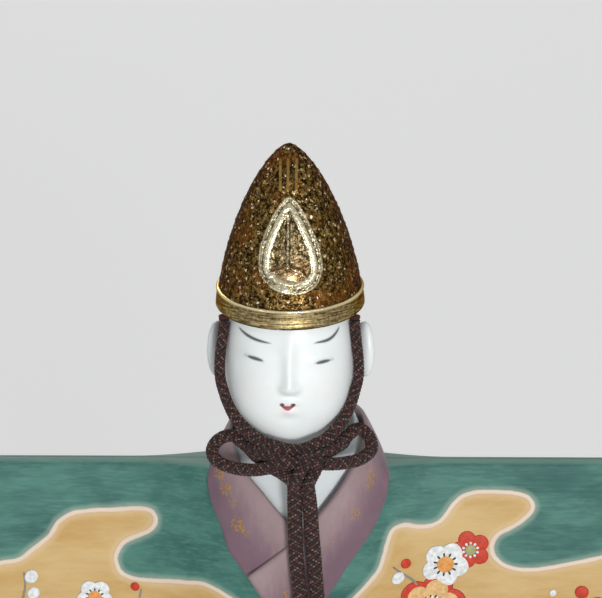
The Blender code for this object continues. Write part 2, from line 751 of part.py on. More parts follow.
def make_waistband():
    """A flat band round the top of the hakama, its knot and its two short ends."""
    low = BAND_BOTTOM_Z
    high = BAND_BOTTOM_Z + BAND_HEIGHT
    inner = -GAP - PLEAT_DEPTH / 4
    outer = inner - BAND_THICKNESS
    rings = [band_ring(low, inner), band_ring(low, outer), band_ring(high, outer),
             band_ring(high, inner)]
    rings = [[Vector((p.x, p.y, z)) for p in ring]
             for ring, z in zip(rings, (low, low, high, high))]
    points, faces = loft(rings, caps=False)
    count = len(rings[0])
    last = 3 * count
    for index in range(count):
        after = (index + 1) % count
        faces.append((last + index, last + after, after, index))
    band = solid("waistband", points, faces, "mauve collar")
    smooth(band)
    front_y = min(point.y for point in rings[1])
    knot_y = front_y - GAP - BAND_KNOT_DEPTH / 2
    knot_z = (low + high) / 2
    knot = ellipsoid("waistband_knot", (NECKLINE_SHIFT, knot_y, knot_z),
                     (BAND_KNOT_HALF_WIDTH, BAND_KNOT_DEPTH, BAND_KNOT_HALF_HEIGHT),
                     "mauve collar")
    trim = box("trim", (-HEM_HALF_WIDTH, front_y - GAP, HEM_Z),
               (HEM_HALF_WIDTH, front_y + OVERRUN, SHOULDER_Z), "mauve collar")
    cut_away(knot, trim)
    smooth(knot)
    for name, side in (("waistband_end_left", 1), ("waistband_end_right", -1)):
        make_band_end(name, side, knot_z - BAND_KNOT_HALF_HEIGHT - GAP)


def make_band_end(name, side, top):
    """A flat hanging end of the waistband, which follows the pleats' fronts."""
    rings = []
    steps = 6
    for step in range(steps + 1):
        share = step / steps
        z = top - BAND_END_LENGTH * share
        centre = NECKLINE_SHIFT + side * (BAND_END_WIDTH * 0.62 + BAND_END_SPREAD * share)
        ring = []
        front = min(point.y for point in hakama_section(min(z, HAKAMA_TOP_Z), -1, 0.0, True))
        if z > BAND_BOTTOM_Z - GAP:
            front = min(front, min(p.y for p in band_ring(z, -GAP - PLEAT_DEPTH / 4 - BAND_THICKNESS)))
        back_y = front - BAND_END_CLEARANCE
        half = BAND_END_WIDTH / 2
        for x, y in ((-half, back_y), (half, back_y), (half, back_y - BAND_THICKNESS),
                     (-half, back_y - BAND_THICKNESS)):
            ring.append(Vector((centre + x, y, z)))
        rings.append(ring)
    solid(name, *loft(rings), "mauve collar")


# Base and core

def make_base():
    """The board inside the hem, four felt pads, the core post and its screw."""
    low = HEM_Z
    high = HEM_Z + BASE_THICKNESS
    inset = HAKAMA_WALL + BASE_CLEARANCE
    rings = []
    for z in (low, high):
        front = hakama_section(high, -1, inset, False)[1:-1]
        back = hakama_section(high, 1, inset, False)[1:-1]
        rings.append([Vector((p.x, p.y, z)) for p in front + list(reversed(back))][::2])
    board = solid("base_board", *loft(rings), "bare wood")
    screw_hole = turned("screw hole", ((SCREW_HEAD_RADIUS + GAP, low - OVERRUN),
                                       (SCREW_HEAD_RADIUS + GAP, low + SCREW_HEAD_HEIGHT),
                                       (SCREW_RADIUS + GAP, low + SCREW_HEAD_HEIGHT + GAP),
                                       (SCREW_RADIUS + GAP, high + OVERRUN)),
                        (0.0, 0.0), "bare wood", steps=16)
    cut_away(board, screw_hole)
    corners = [(side_x, side_y) for side_x in (-1, 1) for side_y in (-1, 1)]
    for number, (side_x, side_y) in enumerate(corners, 1):
        centre = (side_x * HEM_HALF_WIDTH * PAD_X_SHARE, side_y * HEM_HALF_DEPTH * PAD_Y_SHARE)
        turned(f"felt_pad_{number}", ((PAD_RADIUS, 0.0), (PAD_RADIUS, low - GAP)), centre,
               "black felt", steps=16)
    post_top = SHOULDER_Z - BUSH_HEIGHT - GAP
    post = box("core_post", (-POST_HALF_WIDTH, -POST_HALF_DEPTH, high + GAP),
               (POST_HALF_WIDTH, POST_HALF_DEPTH, post_top), "bare wood", POST_CHAMFER)
    screw_top = low + SCREW_LENGTH
    pilot = turned("pilot hole", ((SCREW_RADIUS + GAP, high - OVERRUN),
                                  (SCREW_RADIUS + GAP, screw_top + GAP)),
                   (0.0, 0.0), "bare wood", steps=16)
    cut_away(post, pilot)
    head_top = low + SCREW_HEAD_HEIGHT
    screw = turned("base_screw", ((SCREW_HEAD_RADIUS, low), (SCREW_HEAD_RADIUS, head_top - GAP),
                                  (SCREW_RADIUS, head_top), (SCREW_RADIUS, screw_top)),
                   (0.0, 0.0), "steel", steps=16)
    smooth(screw)


def make_bush():
    """The wooden bush in the shoulders, with a square hole for the peg's foot."""
    low = SHOULDER_Z - BUSH_HEIGHT
    flange_top = low + BUSH_FLANGE_HEIGHT
    bush = turned("neck_bush", ((BUSH_FLANGE_RADIUS, low), (BUSH_FLANGE_RADIUS, flange_top),
                                (BUSH_RADIUS, flange_top + GAP), (BUSH_RADIUS, SHOULDER_Z)),
                  (0.0, 0.0), "bare wood")
    half = FOOT_HALF_WIDTH + GAP
    cut_away(bush, box("square hole", (-half, -half, SHOULDER_Z - FOOT_LENGTH - GAP),
                       (half, half, SHOULDER_Z + OVERRUN), "bare wood"))
    smooth(bush)


def make_peg(lift_axis):
    """The neck peg, with a square foot that lifts and a round spigot for the head."""
    half = FOOT_HALF_WIDTH
    peg = box("neck_peg", (-half, -half, SHOULDER_Z - FOOT_LENGTH), (half, half, SHOULDER_Z),
              "bare wood", holder=lift_axis)
    spigot = turned("spigot", ((SPIGOT_RADIUS, SHOULDER_Z - OVERRUN),
                               (SPIGOT_RADIUS, SHOULDER_Z + SPIGOT_LENGTH)),
                    (0.0, 0.0), "bare wood", steps=20)
    join(peg, spigot, "UNION")
    smooth(peg)


# Head

def head_place(point):
    """From the head's own frame, in the middle of the rim, to the doll's frame."""
    tip = Matrix.Rotation(HEAD_BOW, 4, "X")
    return tip @ Vector(point) + Vector((0.0, HEAD_Y, RIM_Z))


def power_pair(angle, power):
    """Cosine and sine of a superellipse."""
    cosine = math.cos(angle)
    sine = math.sin(angle)
    return (math.copysign(abs(cosine) ** (2 / power), cosine),
            math.copysign(abs(sine) ** (2 / power), sine))


def nose_swell(x, drop):
    """How far the nose stands out of the face at a place."""
    if drop < NOSE_TOP_DROP or drop > NOSE_TIP_DROP + NOSE_END:
        return 0.0
    down = min((drop - NOSE_TOP_DROP) / (NOSE_TIP_DROP - NOSE_TOP_DROP), 1.0)
    end = 1.0 - smoothstep((drop - NOSE_TIP_DROP) / NOSE_END)
    width = NOSE_HALF_WIDTH * mix(0.6, 1.0, down)
    across = max(1.0 - (x / width) ** 2, 0.0)
    return NOSE_HEIGHT * mix(0.25, 1.0, down) * across * end


def head_surface(rise, turn):
    """A point of the egg-shaped head. Rise runs from chin to crown, turn round from +X."""
    power = JAW_POWER if rise < 0 else CROWN_POWER
    height = JAW_HEIGHT if rise < 0 else CROWN_HEIGHT
    level, climb = power_pair(rise, power)
    across, along = power_pair(turn, SECTION_POWER)
    depth = FACE_DEPTH if along < 0 else NAPE_DEPTH
    x = HEAD_HALF_WIDTH * level * across
    y = depth * level * along
    z = -HEAD_MIDDLE_DROP + height * climb
    if climb < 0:
        z += NAPE_RISE * -climb * smoothstep((y + FACE_DEPTH / 2) / (FACE_DEPTH / 2 + NAPE_DEPTH))
    if along < 0:
        y -= nose_swell(x, -z)
    return head_place((x, y, z))


def make_head(turn_axis):
    """The head with its neck and ears, bored from below for the spigot."""
    rings = []
    for ring in range(1, HEAD_RINGS):
        rise = mix(-math.pi / 2, math.pi / 2, ring / HEAD_RINGS)
        rings.append([head_surface(rise, math.tau * step / HEAD_SEGMENTS)
                      for step in range(HEAD_SEGMENTS)])
    ends = (head_surface(-math.pi / 2, 0.0), head_surface(math.pi / 2, 0.0))
    head = solid("head", *pole_loft(rings, *ends), "white skin", turn_axis)
    neck = turned("neck", ((NECK_RADIUS, SHOULDER_Z + GAP), (NECK_RADIUS, RIM_Z - HEAD_MIDDLE_DROP)),
                  (0.0, 0.0), "white skin")
    join(head, neck, "UNION")
    for side in (-1, 1):
        splay = Matrix.Rotation(HEAD_BOW, 3, "X") @ Matrix.Rotation(side * EAR_SPLAY, 3, "Z")
        centre = head_place((side * EAR_X, EAR_Y, -EAR_DROP))
        halves = (EAR_HALF_THICKNESS, EAR_HALF_DEPTH, EAR_HALF_HEIGHT)
        ear = ellipsoid("ear", centre, halves, "white skin", steps=14, turn=splay)
        scoop_centre = centre + splay @ Vector((side * EAR_HALF_THICKNESS, -EAR_HALF_THICKNESS / 2, 0.0))
        scoop_halves = [half * EAR_SCOOP_SHARE for half in halves]
        scoop = ellipsoid("scoop", scoop_centre, scoop_halves, "white skin", steps=10, turn=splay)
        cut_away(ear, scoop)
        join(head, ear, "UNION")
    bore = turned("bore", ((SPIGOT_RADIUS + GAP, SHOULDER_Z - OVERRUN),
                           (SPIGOT_RADIUS + GAP, SHOULDER_Z + SPIGOT_LENGTH + GAP)),
                  (0.0, 0.0), "white skin", steps=20)
    cut_away(head, bore)
    smooth(head)


# Hat

def hat_share(up):
    """The hat's half sizes at a share of its height, as a share of those at the rim."""
    return max(1 - up ** HAT_FOOT_POWER, 0.0) ** HAT_TIP_POWER


def hat_ring(up, inset):
    """One level of the hat, in the head's frame."""
    share = hat_share(up)
    half_width = max(HAT_HALF_WIDTH * share - inset, 0.0)
    half_depth = max(HAT_HALF_DEPTH * share - inset, 0.0)
    ring = []
    for step in range(HAT_SEGMENTS):
        angle = math.tau * step / HAT_SEGMENTS
        ring.append(head_place((half_width * math.cos(angle), half_depth * math.sin(angle),
                                HAT_HEIGHT * up)))
    return ring


def hat_front(x, up, proud):
    """A point on the front of the hat, a little proud of its surface."""
    share = hat_share(up)
    half_width = HAT_HALF_WIDTH * share
    half_depth = HAT_HALF_DEPTH * share
    across = min(abs(x) / half_width, 1.0)
    y = -half_depth * math.sqrt(1 - across * across) - proud
    return head_place((x, y, HAT_HEIGHT * up))


def tube_rings(centres, radius, closed, steps=6):
    """Rings round a path, for beads that are joined to a shell."""
    rings = []
    count = len(centres)
    for index, centre in enumerate(centres):
        before = centres[index - 1] if closed or index else centre
        after = centres[(index + 1) % count] if closed or index < count - 1 else centre
        along = (after - before).normalized()
        side = along.cross(Vector((0.0, 1.0, 0.0))).normalized()
        out = side.cross(along).normalized()
        ring = []
        for step in range(steps):
            angle = math.tau * step / steps
            ring.append(centre + side * radius * math.cos(angle) + out * radius * math.sin(angle))
        rings.append(ring)
    return rings


def crest_path():
    """The teardrop that stands out on the hat's front: a point above, a round foot below."""
    centres = []
    middle = (CREST_TOP_SHARE + CREST_BOTTOM_SHARE) / 2
    reach = (CREST_TOP_SHARE - CREST_BOTTOM_SHARE) / 2
    for point in range(CREST_BEAD_POINTS):
        angle = math.tau * point / CREST_BEAD_POINTS
        taper = math.sin(angle / 2) ** CREST_SHARPNESS_SHARE
        x = CREST_SHIFT + CREST_HALF_WIDTH * CREST_WIDTH_SHARE * math.sin(angle) * taper
        centres.append(hat_front(x, middle + reach * math.cos(angle), 0.0))
    return centres


def make_hat(turn_axis):
    """The hat's shell with the crest and front seam in relief, its rim band and its lining."""
    levels = [(level / HAT_RINGS) for level in range(HAT_RINGS)]
    outer = [hat_ring(up, 0.0) for up in levels]
    inner_height = 1 - 2.2 * HAT_WALL / HAT_HEIGHT
    inner = [hat_ring(up * inner_height, HAT_WALL) for up in levels]
    tips = (head_place((0.0, 0.0, HAT_HEIGHT * inner_height)), head_place((0.0, 0.0, HAT_HEIGHT)))
    rings = list(reversed(inner)) + outer
    shell = solid("hat_shell", *pole_loft(rings, *tips), "gold leaf", turn_axis)
    rings = tube_rings(crest_path(), CREST_BEAD_RADIUS, True)
    points, faces = loft(rings + [rings[0]], caps=False)
    count = len(rings[0])
    wrap = len(rings) * count
    points = points[:wrap]
    faces = [tuple(corner % wrap for corner in face) for face in faces]
    join(shell, solid("crest", points, faces, "gold leaf"), "UNION")
    seam = [hat_front(0.0, mix(SEAM_BOTTOM_SHARE, SEAM_TOP_SHARE, step / (RIDGE_POINTS - 1)), 0.0)
            for step in range(RIDGE_POINTS)]
    join(shell, solid("seam", *loft(tube_rings(seam, RIDGE_HALF_WIDTH, False)), "gold leaf"),
         "UNION")
    smooth(shell)
    make_rim_band(turn_axis)
    make_hat_lining(turn_axis)


def make_rim_band(turn_axis):
    """The band round the rim: a flat strip with a bead along its upper edge."""
    inner = GAP
    outer = GAP + RIM_BAND_THICKNESS
    bead = outer + RIM_BEAD_RADIUS
    shape = ((inner, 0.0), (outer, 0.0), (outer, RIM_BAND_HEIGHT - 2 * RIM_BEAD_RADIUS),
             (bead, RIM_BAND_HEIGHT - 1.4 * RIM_BEAD_RADIUS),
             (bead, RIM_BAND_HEIGHT - 0.6 * RIM_BEAD_RADIUS), (outer, RIM_BAND_HEIGHT),
             (inner, RIM_BAND_HEIGHT))
    rings = []
    for step in range(HAT_SEGMENTS):
        angle = math.tau * step / HAT_SEGMENTS
        ring = []
        for out, up in shape:
            x = (HAT_HALF_WIDTH + out) * math.cos(angle)
            y = (HAT_HALF_DEPTH + out) * math.sin(angle)
            ring.append(head_place((x, y, up)))
        rings.append(ring)
    band = solid("rim_band", *closed_loft(rings), "gold leaf", turn_axis)
    smooth(band)


def closed_loft(rings):
    """A loft whose last ring meets its first, such as a hoop."""
    count = len(rings[0])
    total = len(rings) * count
    points = [point for ring in rings for point in ring]
    faces = []
    for level in range(len(rings)):
        low = level * count
        high = low + count
        for index in range(count):
            after = (index + 1) % count
            faces.append((low + index, low + after, (high + after) % total, (high + index) % total))
    return points, faces


def make_hat_lining(turn_axis):
    """A felt ring inside the hat, which sits on the crown of the head."""
    rings = []
    for step in range(HAT_SEGMENTS):
        angle = math.tau * step / HAT_SEGMENTS
        ring = []
        for height, inset in ((LINING_RING_BOTTOM, 0.0), (LINING_RING_TOP, 0.0),
                              (LINING_RING_TOP, LINING_RING_THICKNESS),
                              (LINING_RING_BOTTOM, LINING_RING_THICKNESS)):
            share = hat_share(height / HAT_HEIGHT)
            away = HAT_WALL + GAP + inset
            ring.append(head_place(((HAT_HALF_WIDTH * share - away) * math.cos(angle),
                                    (HAT_HALF_DEPTH * share - away) * math.sin(angle), height)))
        rings.append(ring)
    lining = solid("hat_lining", *closed_loft(rings), "black felt", turn_axis)
    smooth(lining)


# Chin cord

def smooth_route(route, count):
    """Evenly spaced points on a smooth curve through a route's own points."""
    places = [Vector(place) for place in route]
    places = [places[0] * 2 - places[1]] + places + [places[-1] * 2 - places[-2]]
    fine = []
    for index in range(1, len(places) - 2):
        p0, p1, p2, p3 = places[index - 1:index + 3]
        for step in range(20):
            t = step / 20
            fine.append(0.5 * (2 * p1 + (p2 - p0) * t + (2 * p0 - 5 * p1 + 4 * p2 - p3) * t * t
                               + (3 * p1 - p0 - 3 * p2 + p3) * t * t * t))
    fine.append(places[-2])
    lengths = [0.0]
    for before, after in zip(fine, fine[1:]):
        lengths.append(lengths[-1] + (after - before).length)
    spaced = []
    place = 0
    for number in range(count):
        target = lengths[-1] * number / (count - 1)
        while place < len(lengths) - 2 and lengths[place + 1] < target:
            place += 1
        run = lengths[place + 1] - lengths[place]
        share = (target - lengths[place]) / run
        spaced.append(fine[place].lerp(fine[place + 1], min(share, 1.0)))
    return spaced, lengths[-1]


def make_cord(name, route, count, holder):
    """A round cord along a smooth route, as a curve with filled ends."""
    points, length = smooth_route(route, count)
    print(name, "is", round(length / 0.001, 1), "mm long")
    data = bpy.data.curves.new(name, "CURVE")
    data.dimensions = "3D"
    data.bevel_depth = CORD_DIAMETER / 2
    data.bevel_resolution = CORD_SIDES_RESOLUTION
    data.use_fill_caps = True
    data.resolution_u = 1
    line = data.splines.new("POLY")
    line.points.add(len(points) - 1)
    for slot, place in zip(line.points, points):
        slot.co = (*place, 1.0)
    made = bpy.data.objects.new(name, data)
    bpy.context.scene.collection.objects.link(made)
    data.materials.append(material("brown cord"))
    made.parent = holder
    made.matrix_parent_inverse = Matrix.Translation(-holder.location)
    return points


def make_anchor(name, top, holder):
    """The bound end of a strap, glued under the rim of the hat."""
    radius = CORD_DIAMETER / 2
    low = top.z + GAP
    whipping = turned(name, ((radius, low), (radius + ANCHOR_BULGE, low + ANCHOR_HEIGHT / 2),
                             (radius, low + ANCHOR_HEIGHT)), (top.x, top.y), "brown cord", holder, steps=12)
    smooth(whipping)


def make_tassel(name, foot, holder):
    """The cut tassel at the end of a tail: a bound head and a skirt."""
    top = foot.z - GAP
    radius = TASSEL_RADIUS
    made = turned(name, ((radius * 1.12, top - TASSEL_LENGTH), (radius, top - TASSEL_LENGTH * 0.55),
                         (radius * 0.72, top - TASSEL_LENGTH * 0.34),
                         (radius * 0.96, top - TASSEL_LENGTH * 0.2), (radius * 0.8, top)),
                  (foot.x, foot.y), "brown cord", holder, steps=12)
    smooth(made)


def make_chin_cord(turn_axis):
    """Two straps, a bow of two loops, its knot and two tails with tassels."""
    straps = (("chin_strap_left", LEFT_STRAP_ROUTE), ("chin_strap_right", RIGHT_STRAP_ROUTE))
    for name, route in straps:
        points = make_cord(name, route, STRAP_POINTS, turn_axis)
        make_anchor(name.replace("chin_strap", "cord_anchor"), points[0], turn_axis)
    make_cord("bow_loop_left", LEFT_LOOP_ROUTE, LOOP_POINTS, turn_axis)
    make_cord("bow_loop_right", RIGHT_LOOP_ROUTE, LOOP_POINTS, turn_axis)
    for side, route in (("left", LEFT_TAIL_ROUTE), ("right", RIGHT_TAIL_ROUTE)):
        points = make_cord("tail_" + side, route, TAIL_POINTS, turn_axis)
        make_tassel("tassel_" + side, points[-1], turn_axis)
    knot = ellipsoid("bow_knot", KNOT_CENTRE, (KNOT_HALF_WIDTH, KNOT_HALF_DEPTH, KNOT_HALF_HEIGHT),
                     "brown cord", steps=20, holder=turn_axis)
    wrap_centre = Vector(KNOT_CENTRE) + Vector((WRAP_SHIFT, -WRAP_FORWARD, -WRAP_DROP))
    wrap = ellipsoid("wrap", wrap_centre, (WRAP_HALF_WIDTH, WRAP_HALF_DEPTH, WRAP_HALF_HEIGHT),
                     "brown cord", steps=16)
    join(knot, wrap, "UNION")
    smooth(knot)


# Collars

def collar_stations(rows, side):
    """Foot and lip points of a collar, from the nape round to the front."""
    stations = []
    for lip_x, lip_y, lip_z, foot_x, foot_y, foot_z, sink in rows:
        lip = Vector((NECKLINE_SHIFT + side * lip_x * COLLAR_HALF_WIDTH, -lip_y * COLLAR_DEPTH,
                      SHOULDER_Z + lip_z * COLLAR_DROP))
        foot = Vector((NECKLINE_SHIFT + side * foot_x * COLLAR_HALF_WIDTH, -foot_y * COLLAR_DEPTH,
                       SHOULDER_Z + foot_z * COLLAR_DROP))
        if sink == 1.0:
            foot.y = -robe_height(foot.x, foot.z)
        stations.append((lip, foot, sink))
    if abs(rows[0][0]) == 0.0:
        lip, foot, sink = stations[0]
        lip.x = foot.x = NECKLINE_SHIFT + side * GAP / 2
    return stations


def collar_loft(name, rows, side, lifts, finish, grow=0.0):
    """A band lofted between foot and lip, puffed outward and, in front, sunk for trimming.

    As a cutter the band is grown all round by a clearance.
    """
    foot_lift, lip_lift, puff = lifts
    stations = collar_stations(rows, side)
    rings = []
    last = len(stations) - 1
    for index, (lip, foot, sink) in enumerate(stations):
        before = stations[max(index - 1, 0)]
        after = stations[min(index + 1, last)]
        along = (after[0] + after[1] - before[0] - before[1]).normalized()
        if index == 0:
            along = Vector((side, 0.0, 0.0))
        rise = (lip - foot).normalized()
        out = along.cross(rise).normalized()
        middle = (lip + foot) / 2
        if out.dot(Vector((middle.x - NECKLINE_SHIFT, middle.y, 0.0))) < 0:
            out = -out
        reach = along * grow * ((index == last) - (index == 0))
        low = foot - rise * grow + reach
        high = lip + rise * grow + reach
        ring = []
        for step in range(COLLAR_STEPS + 1):
            share = step / COLLAR_STEPS
            lift = mix(foot_lift, lip_lift, share) + puff * 4 * share * (1 - share) + grow
            ring.append(low.lerp(high, share) + out * lift)
        sunk = COLLAR_SINK * sink + grow
        ring.append(high - out * mix(grow, sunk, 0.5))
        ring.append(low - out * sunk)
        rings.append(ring)
    return solid(name, *loft(rings), finish)


def trim_to_robe(target):
    """Cut a collar back so that it lies a clearance away from the robe."""
    for side in (-1, 1):
        form = robe_form("form", side, -OVERRUN)
        form.data.transform(Matrix.Translation((0.0, side * GAP, GAP)))
        cut_away(target, form)


def make_collars():
    """The white collar pair inside, and the mauve pair over it, the left side lapping last."""
    white_lifts = (WHITE_FOOT_LIFT, WHITE_LIP_LIFT, WHITE_PUFF)
    mauve_lifts = (MAUVE_FOOT_LIFT, MAUVE_LIP_LIFT, MAUVE_PUFF)
    whites = (("white_collar_left", 1, WHITE_SHARES), ("white_collar_right", -1, WHITE_SHARES))
    mauves = (("mauve_collar_left", 1, MAUVE_OVER_SHARES),
              ("mauve_collar_right", -1, MAUVE_UNDER_SHARES))
    pairs = ((whites, white_lifts, "white collar", ()), (mauves, mauve_lifts, "mauve collar", whites))
    for pair, lifts, finish, inside in pairs:
        over, under = pair
        for name, side, rows in pair:
            collar = collar_loft(name, rows, side, lifts, finish)
            trim_to_robe(collar)
            for _, inner_side, inner_rows in inside:
                cut_away(collar, collar_loft("form", inner_rows, inner_side, white_lifts, finish, GAP))
            if name == under[0]:
                cut_away(collar, collar_loft("form", over[2], over[1], lifts, finish, GAP))
            smooth(collar)


def main():
    clear_scene()
    lift_axis = axis_empty("lift_axis", (0.0, 0.0, SHOULDER_Z))
    turn_axis = axis_empty("turn_axis", (0.0, 0.0, SHOULDER_Z))
    make_base()
    make_hakama()
    make_waistband()
    make_robe()
    make_bush()
    make_collars()
    make_peg(lift_axis)
    make_head(turn_axis)
    make_hat(turn_axis)
    make_chin_cord(turn_axis)


main()
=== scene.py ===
# %% [markdown]
# ## A standing festival doll
# This doll is moulded, painted and dressed in pieces: a flat robe with open sleeves, pleated
# hakama, two pairs of collars, a lacquered head and a gold hat that a braided cord holds on.
# The solid model fixes where every piece lies, so this script only gives the pieces their looks.

# %% Load the fixed frame
import bisect
import math

import bmesh
import bpy
import numpy as np
from mathutils import Matrix, Vector, noise
from mathutils.geometry import delaunay_2d_cdt


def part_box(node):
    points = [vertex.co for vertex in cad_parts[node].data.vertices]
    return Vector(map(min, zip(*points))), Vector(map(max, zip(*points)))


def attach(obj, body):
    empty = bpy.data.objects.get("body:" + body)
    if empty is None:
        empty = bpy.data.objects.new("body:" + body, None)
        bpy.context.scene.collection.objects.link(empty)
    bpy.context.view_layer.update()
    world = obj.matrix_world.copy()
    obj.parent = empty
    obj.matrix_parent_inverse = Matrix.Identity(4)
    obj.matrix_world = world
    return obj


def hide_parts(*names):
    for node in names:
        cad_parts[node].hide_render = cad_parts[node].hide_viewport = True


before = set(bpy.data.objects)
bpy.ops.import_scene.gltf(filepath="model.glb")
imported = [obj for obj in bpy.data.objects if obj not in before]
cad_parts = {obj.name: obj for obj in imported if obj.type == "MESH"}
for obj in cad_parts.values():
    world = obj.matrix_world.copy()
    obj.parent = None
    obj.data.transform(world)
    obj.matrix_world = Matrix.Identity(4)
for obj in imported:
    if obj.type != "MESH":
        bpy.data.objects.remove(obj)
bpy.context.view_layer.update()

MM = 0.001

# %% [markdown]
# ## The view
# The picture was taken from a little above and a little to the doll's left. Half a metre away, a
# long lens keeps the face from bulging. The lens follows from what the frame takes in: the width
# that shows at the distance of the face.

# %% Camera
VIEW_AZIMUTH = math.radians(1.5)
VIEW_ELEVATION = math.radians(15)
VIEW_ROLL = math.radians(-0.25)
VIEW_DISTANCE = 550 * MM
SEEN_WIDTH = 132.4 * MM
AIM = Vector((2.33 * MM, 0.0, 206.5 * MM))


def add_camera():
    """Put the camera on a sphere round the point that it aims at."""
    data = bpy.data.cameras.new("view")
    data.sensor_width = 36.0
    data.lens = data.sensor_width * VIEW_DISTANCE / SEEN_WIDTH
    data.clip_start = 10 * MM
    data.clip_end = 20.0
    camera = bpy.data.objects.new("view", data)
    bpy.context.scene.collection.objects.link(camera)
    back = Vector((math.sin(VIEW_AZIMUTH) * math.cos(VIEW_ELEVATION),
                   -math.cos(VIEW_AZIMUTH) * math.cos(VIEW_ELEVATION), math.sin(VIEW_ELEVATION)))
    camera.location = AIM + back * VIEW_DISTANCE
    level = (-back).to_track_quat("-Z", "Y").to_matrix()
    camera.rotation_euler = (level @ Matrix.Rotation(VIEW_ROLL, 3, "Z")).to_euler()
    bpy.context.scene.camera = camera
    return camera


camera = add_camera()
print("lens in mm:", round(camera.data.lens, 1))

# %% [markdown]
# ## Writing shaders as sums
# Every finish below is a small sum over places and noises. A wrapper round a socket lets such a
# sum be written as plain Python: each operator adds one Math node. All other nodes come from one
# method, so a finish reads like a recipe.

# %% A wire that does arithmetic
def srgb(red, green, blue):
    """A colour as a screen shows it, from 0 to 255, as the linear colour that shaders use."""
    shares = [value / 255 for value in (red, green, blue)]
    linear = [s / 12.92 if s <= 0.04045 else ((s + 0.055) / 1.055) ** 2.4 for s in shares]
    return (*linear, 1.0)


class Wire:
    """One output socket of a shader tree, with arithmetic."""

    def __init__(self, finish, socket):
        self.finish = finish
        self.socket = socket

    def maths(self, operation, *values):
        sockets = dict(enumerate(values))
        return self.finish.node("ShaderNodeMath", {"operation": operation}, sockets)

    def __add__(self, other):
        return self.maths("ADD", self, other)

    def __sub__(self, other):
        return self.maths("SUBTRACT", self, other)

    def __rsub__(self, other):
        return self.maths("SUBTRACT", other, self)

    def __mul__(self, other):
        return self.maths("MULTIPLY", self, other)

    def __truediv__(self, other):
        return self.maths("DIVIDE", self, other)

    def __pow__(self, other):
        return self.maths("POWER", self, other)

    __radd__ = __add__
    __rmul__ = __mul__

    def absolute(self):
        return self.maths("ABSOLUTE", self)

    def sine(self):
        return self.maths("SINE", self)

    def least(self, other):
        return self.maths("MINIMUM", self, other)

    def most(self, other):
        return self.maths("MAXIMUM", self, other)

    def fade(self, low, high):
        """0 at low, 1 at high, and smooth between; low may be the larger of the two."""
        return self.finish.node("ShaderNodeMapRange", {"interpolation_type": "SMOOTHSTEP"},
                                {"Value": self, "From Min": low, "From Max": high})


class Finish:
    """A material that is written as a recipe round one Principled shader."""

    def __init__(self, name, roughness=0.5, metallic=0.0, **fixed):
        self.material = bpy.data.materials.new(name)
        self.material.use_nodes = True
        self.tree = self.material.node_tree
        self.shader = self.tree.nodes["Principled BSDF"]
        self.put("Roughness", roughness)
        self.put("Metallic", metallic)
        for key, value in fixed.items():
            self.put(key.replace("_", " "), value)

    def feed(self, socket, value):
        if isinstance(value, Wire):
            self.tree.links.new(value.socket, socket)
        else:
            socket.default_value = value

    def put(self, name, value):
        """Set or link an input of the shader."""
        self.feed(self.shader.inputs[name], value)

    def node(self, kind, settings=None, sockets=None, output=0):
        """Any node: its settings first, then the values or wires of its sockets."""
        made = self.tree.nodes.new(kind)
        for key, value in (settings or {}).items():
            setattr(made, key, value)
        for key, value in (sockets or {}).items():
            self.feed(made.inputs[key], value)
        return Wire(self, made.outputs[output])

    def place(self):
        """Where the point lies in the doll's own frame, in metres."""
        return self.node("ShaderNodeTexCoord", output="Object")

    def axes(self, vector):
        """The three numbers of a vector, in millimetres."""
        parts = self.tree.nodes.new("ShaderNodeSeparateXYZ")
        self.feed(parts.inputs[0], vector)
        return [Wire(self, out) / MM for out in parts.outputs]

    def attribute(self, name):
        return self.node("ShaderNodeAttribute", {"attribute_name": name}, output="Fac")

    def noise(self, size, detail=2.0, vector=None, roughness=0.5, stretch=None):
        """Cloudy noise whose lumps are about the given size in metres."""
        source = vector or self.place()
        if stretch:
            source = self.node("ShaderNodeMapping", None, {"Vector": source, "Scale": stretch})
        return self.node("ShaderNodeTexNoise", None, {"Vector": source, "Scale": 1 / size,
                                                      "Detail": detail, "Roughness": roughness})

    def mixed(self, factor, first, second):
        """A colour between two colours."""
        return self.node("ShaderNodeMix", {"data_type": "RGBA"}, {0: factor, 6: first, 7: second}, 2)

    def bump(self, height, distance, strength=1.0):
        """Relief too fine to model, from a height of 0 to 1 and its depth in metres."""
        normal = self.node("ShaderNodeBump", None, {"Height": height, "Distance": distance,
                                                    "Strength": strength})
        self.put("Normal", normal)


print("shader arithmetic is ready")

# %% [markdown]
# ## Putting pieces on the doll
# Each piece is a plain mesh in the doll's frame. One helper makes the mesh and shades it smooth;
# another gives it its finish, hides the solid that it replaces and lets it ride on its body.

# %% Helpers for meshes
def grid_faces(rows, columns, wrap_rows=False, wrap_columns=True):
    """Quads between the points of a grid that is stored row by row."""
    faces = []
    for row in range(rows if wrap_rows else rows - 1):
        for column in range(columns if wrap_columns else columns - 1):
            low = row * columns
            high = (row + 1) % rows * columns
            after = (column + 1) % columns
            faces.append((low + column, low + after, high + after, high + column))
    return faces


def capped(rows, columns):
    """A tube of rings with a face over each end."""
    last = (rows - 1) * columns
    return grid_faces(rows, columns) + [tuple(range(columns - 1, -1, -1)),
                                        tuple(range(last, last + columns))]


def mesh_object(name, points, faces, outward=True):
    """A mesh object at the origin, with its faces pointing outwards."""
    mesh = bpy.data.meshes.new(name)
    mesh.from_pydata([tuple(point) for point in points], [], faces)
    made = bpy.data.objects.new(name, mesh)
    bpy.context.scene.collection.objects.link(made)
    if outward:
        bm = bmesh.new()
        bm.from_mesh(mesh)
        bmesh.ops.recalc_face_normals(bm, faces=bm.faces)
        bm.to_mesh(mesh)
        bm.free()
    mesh.shade_smooth()
    return made


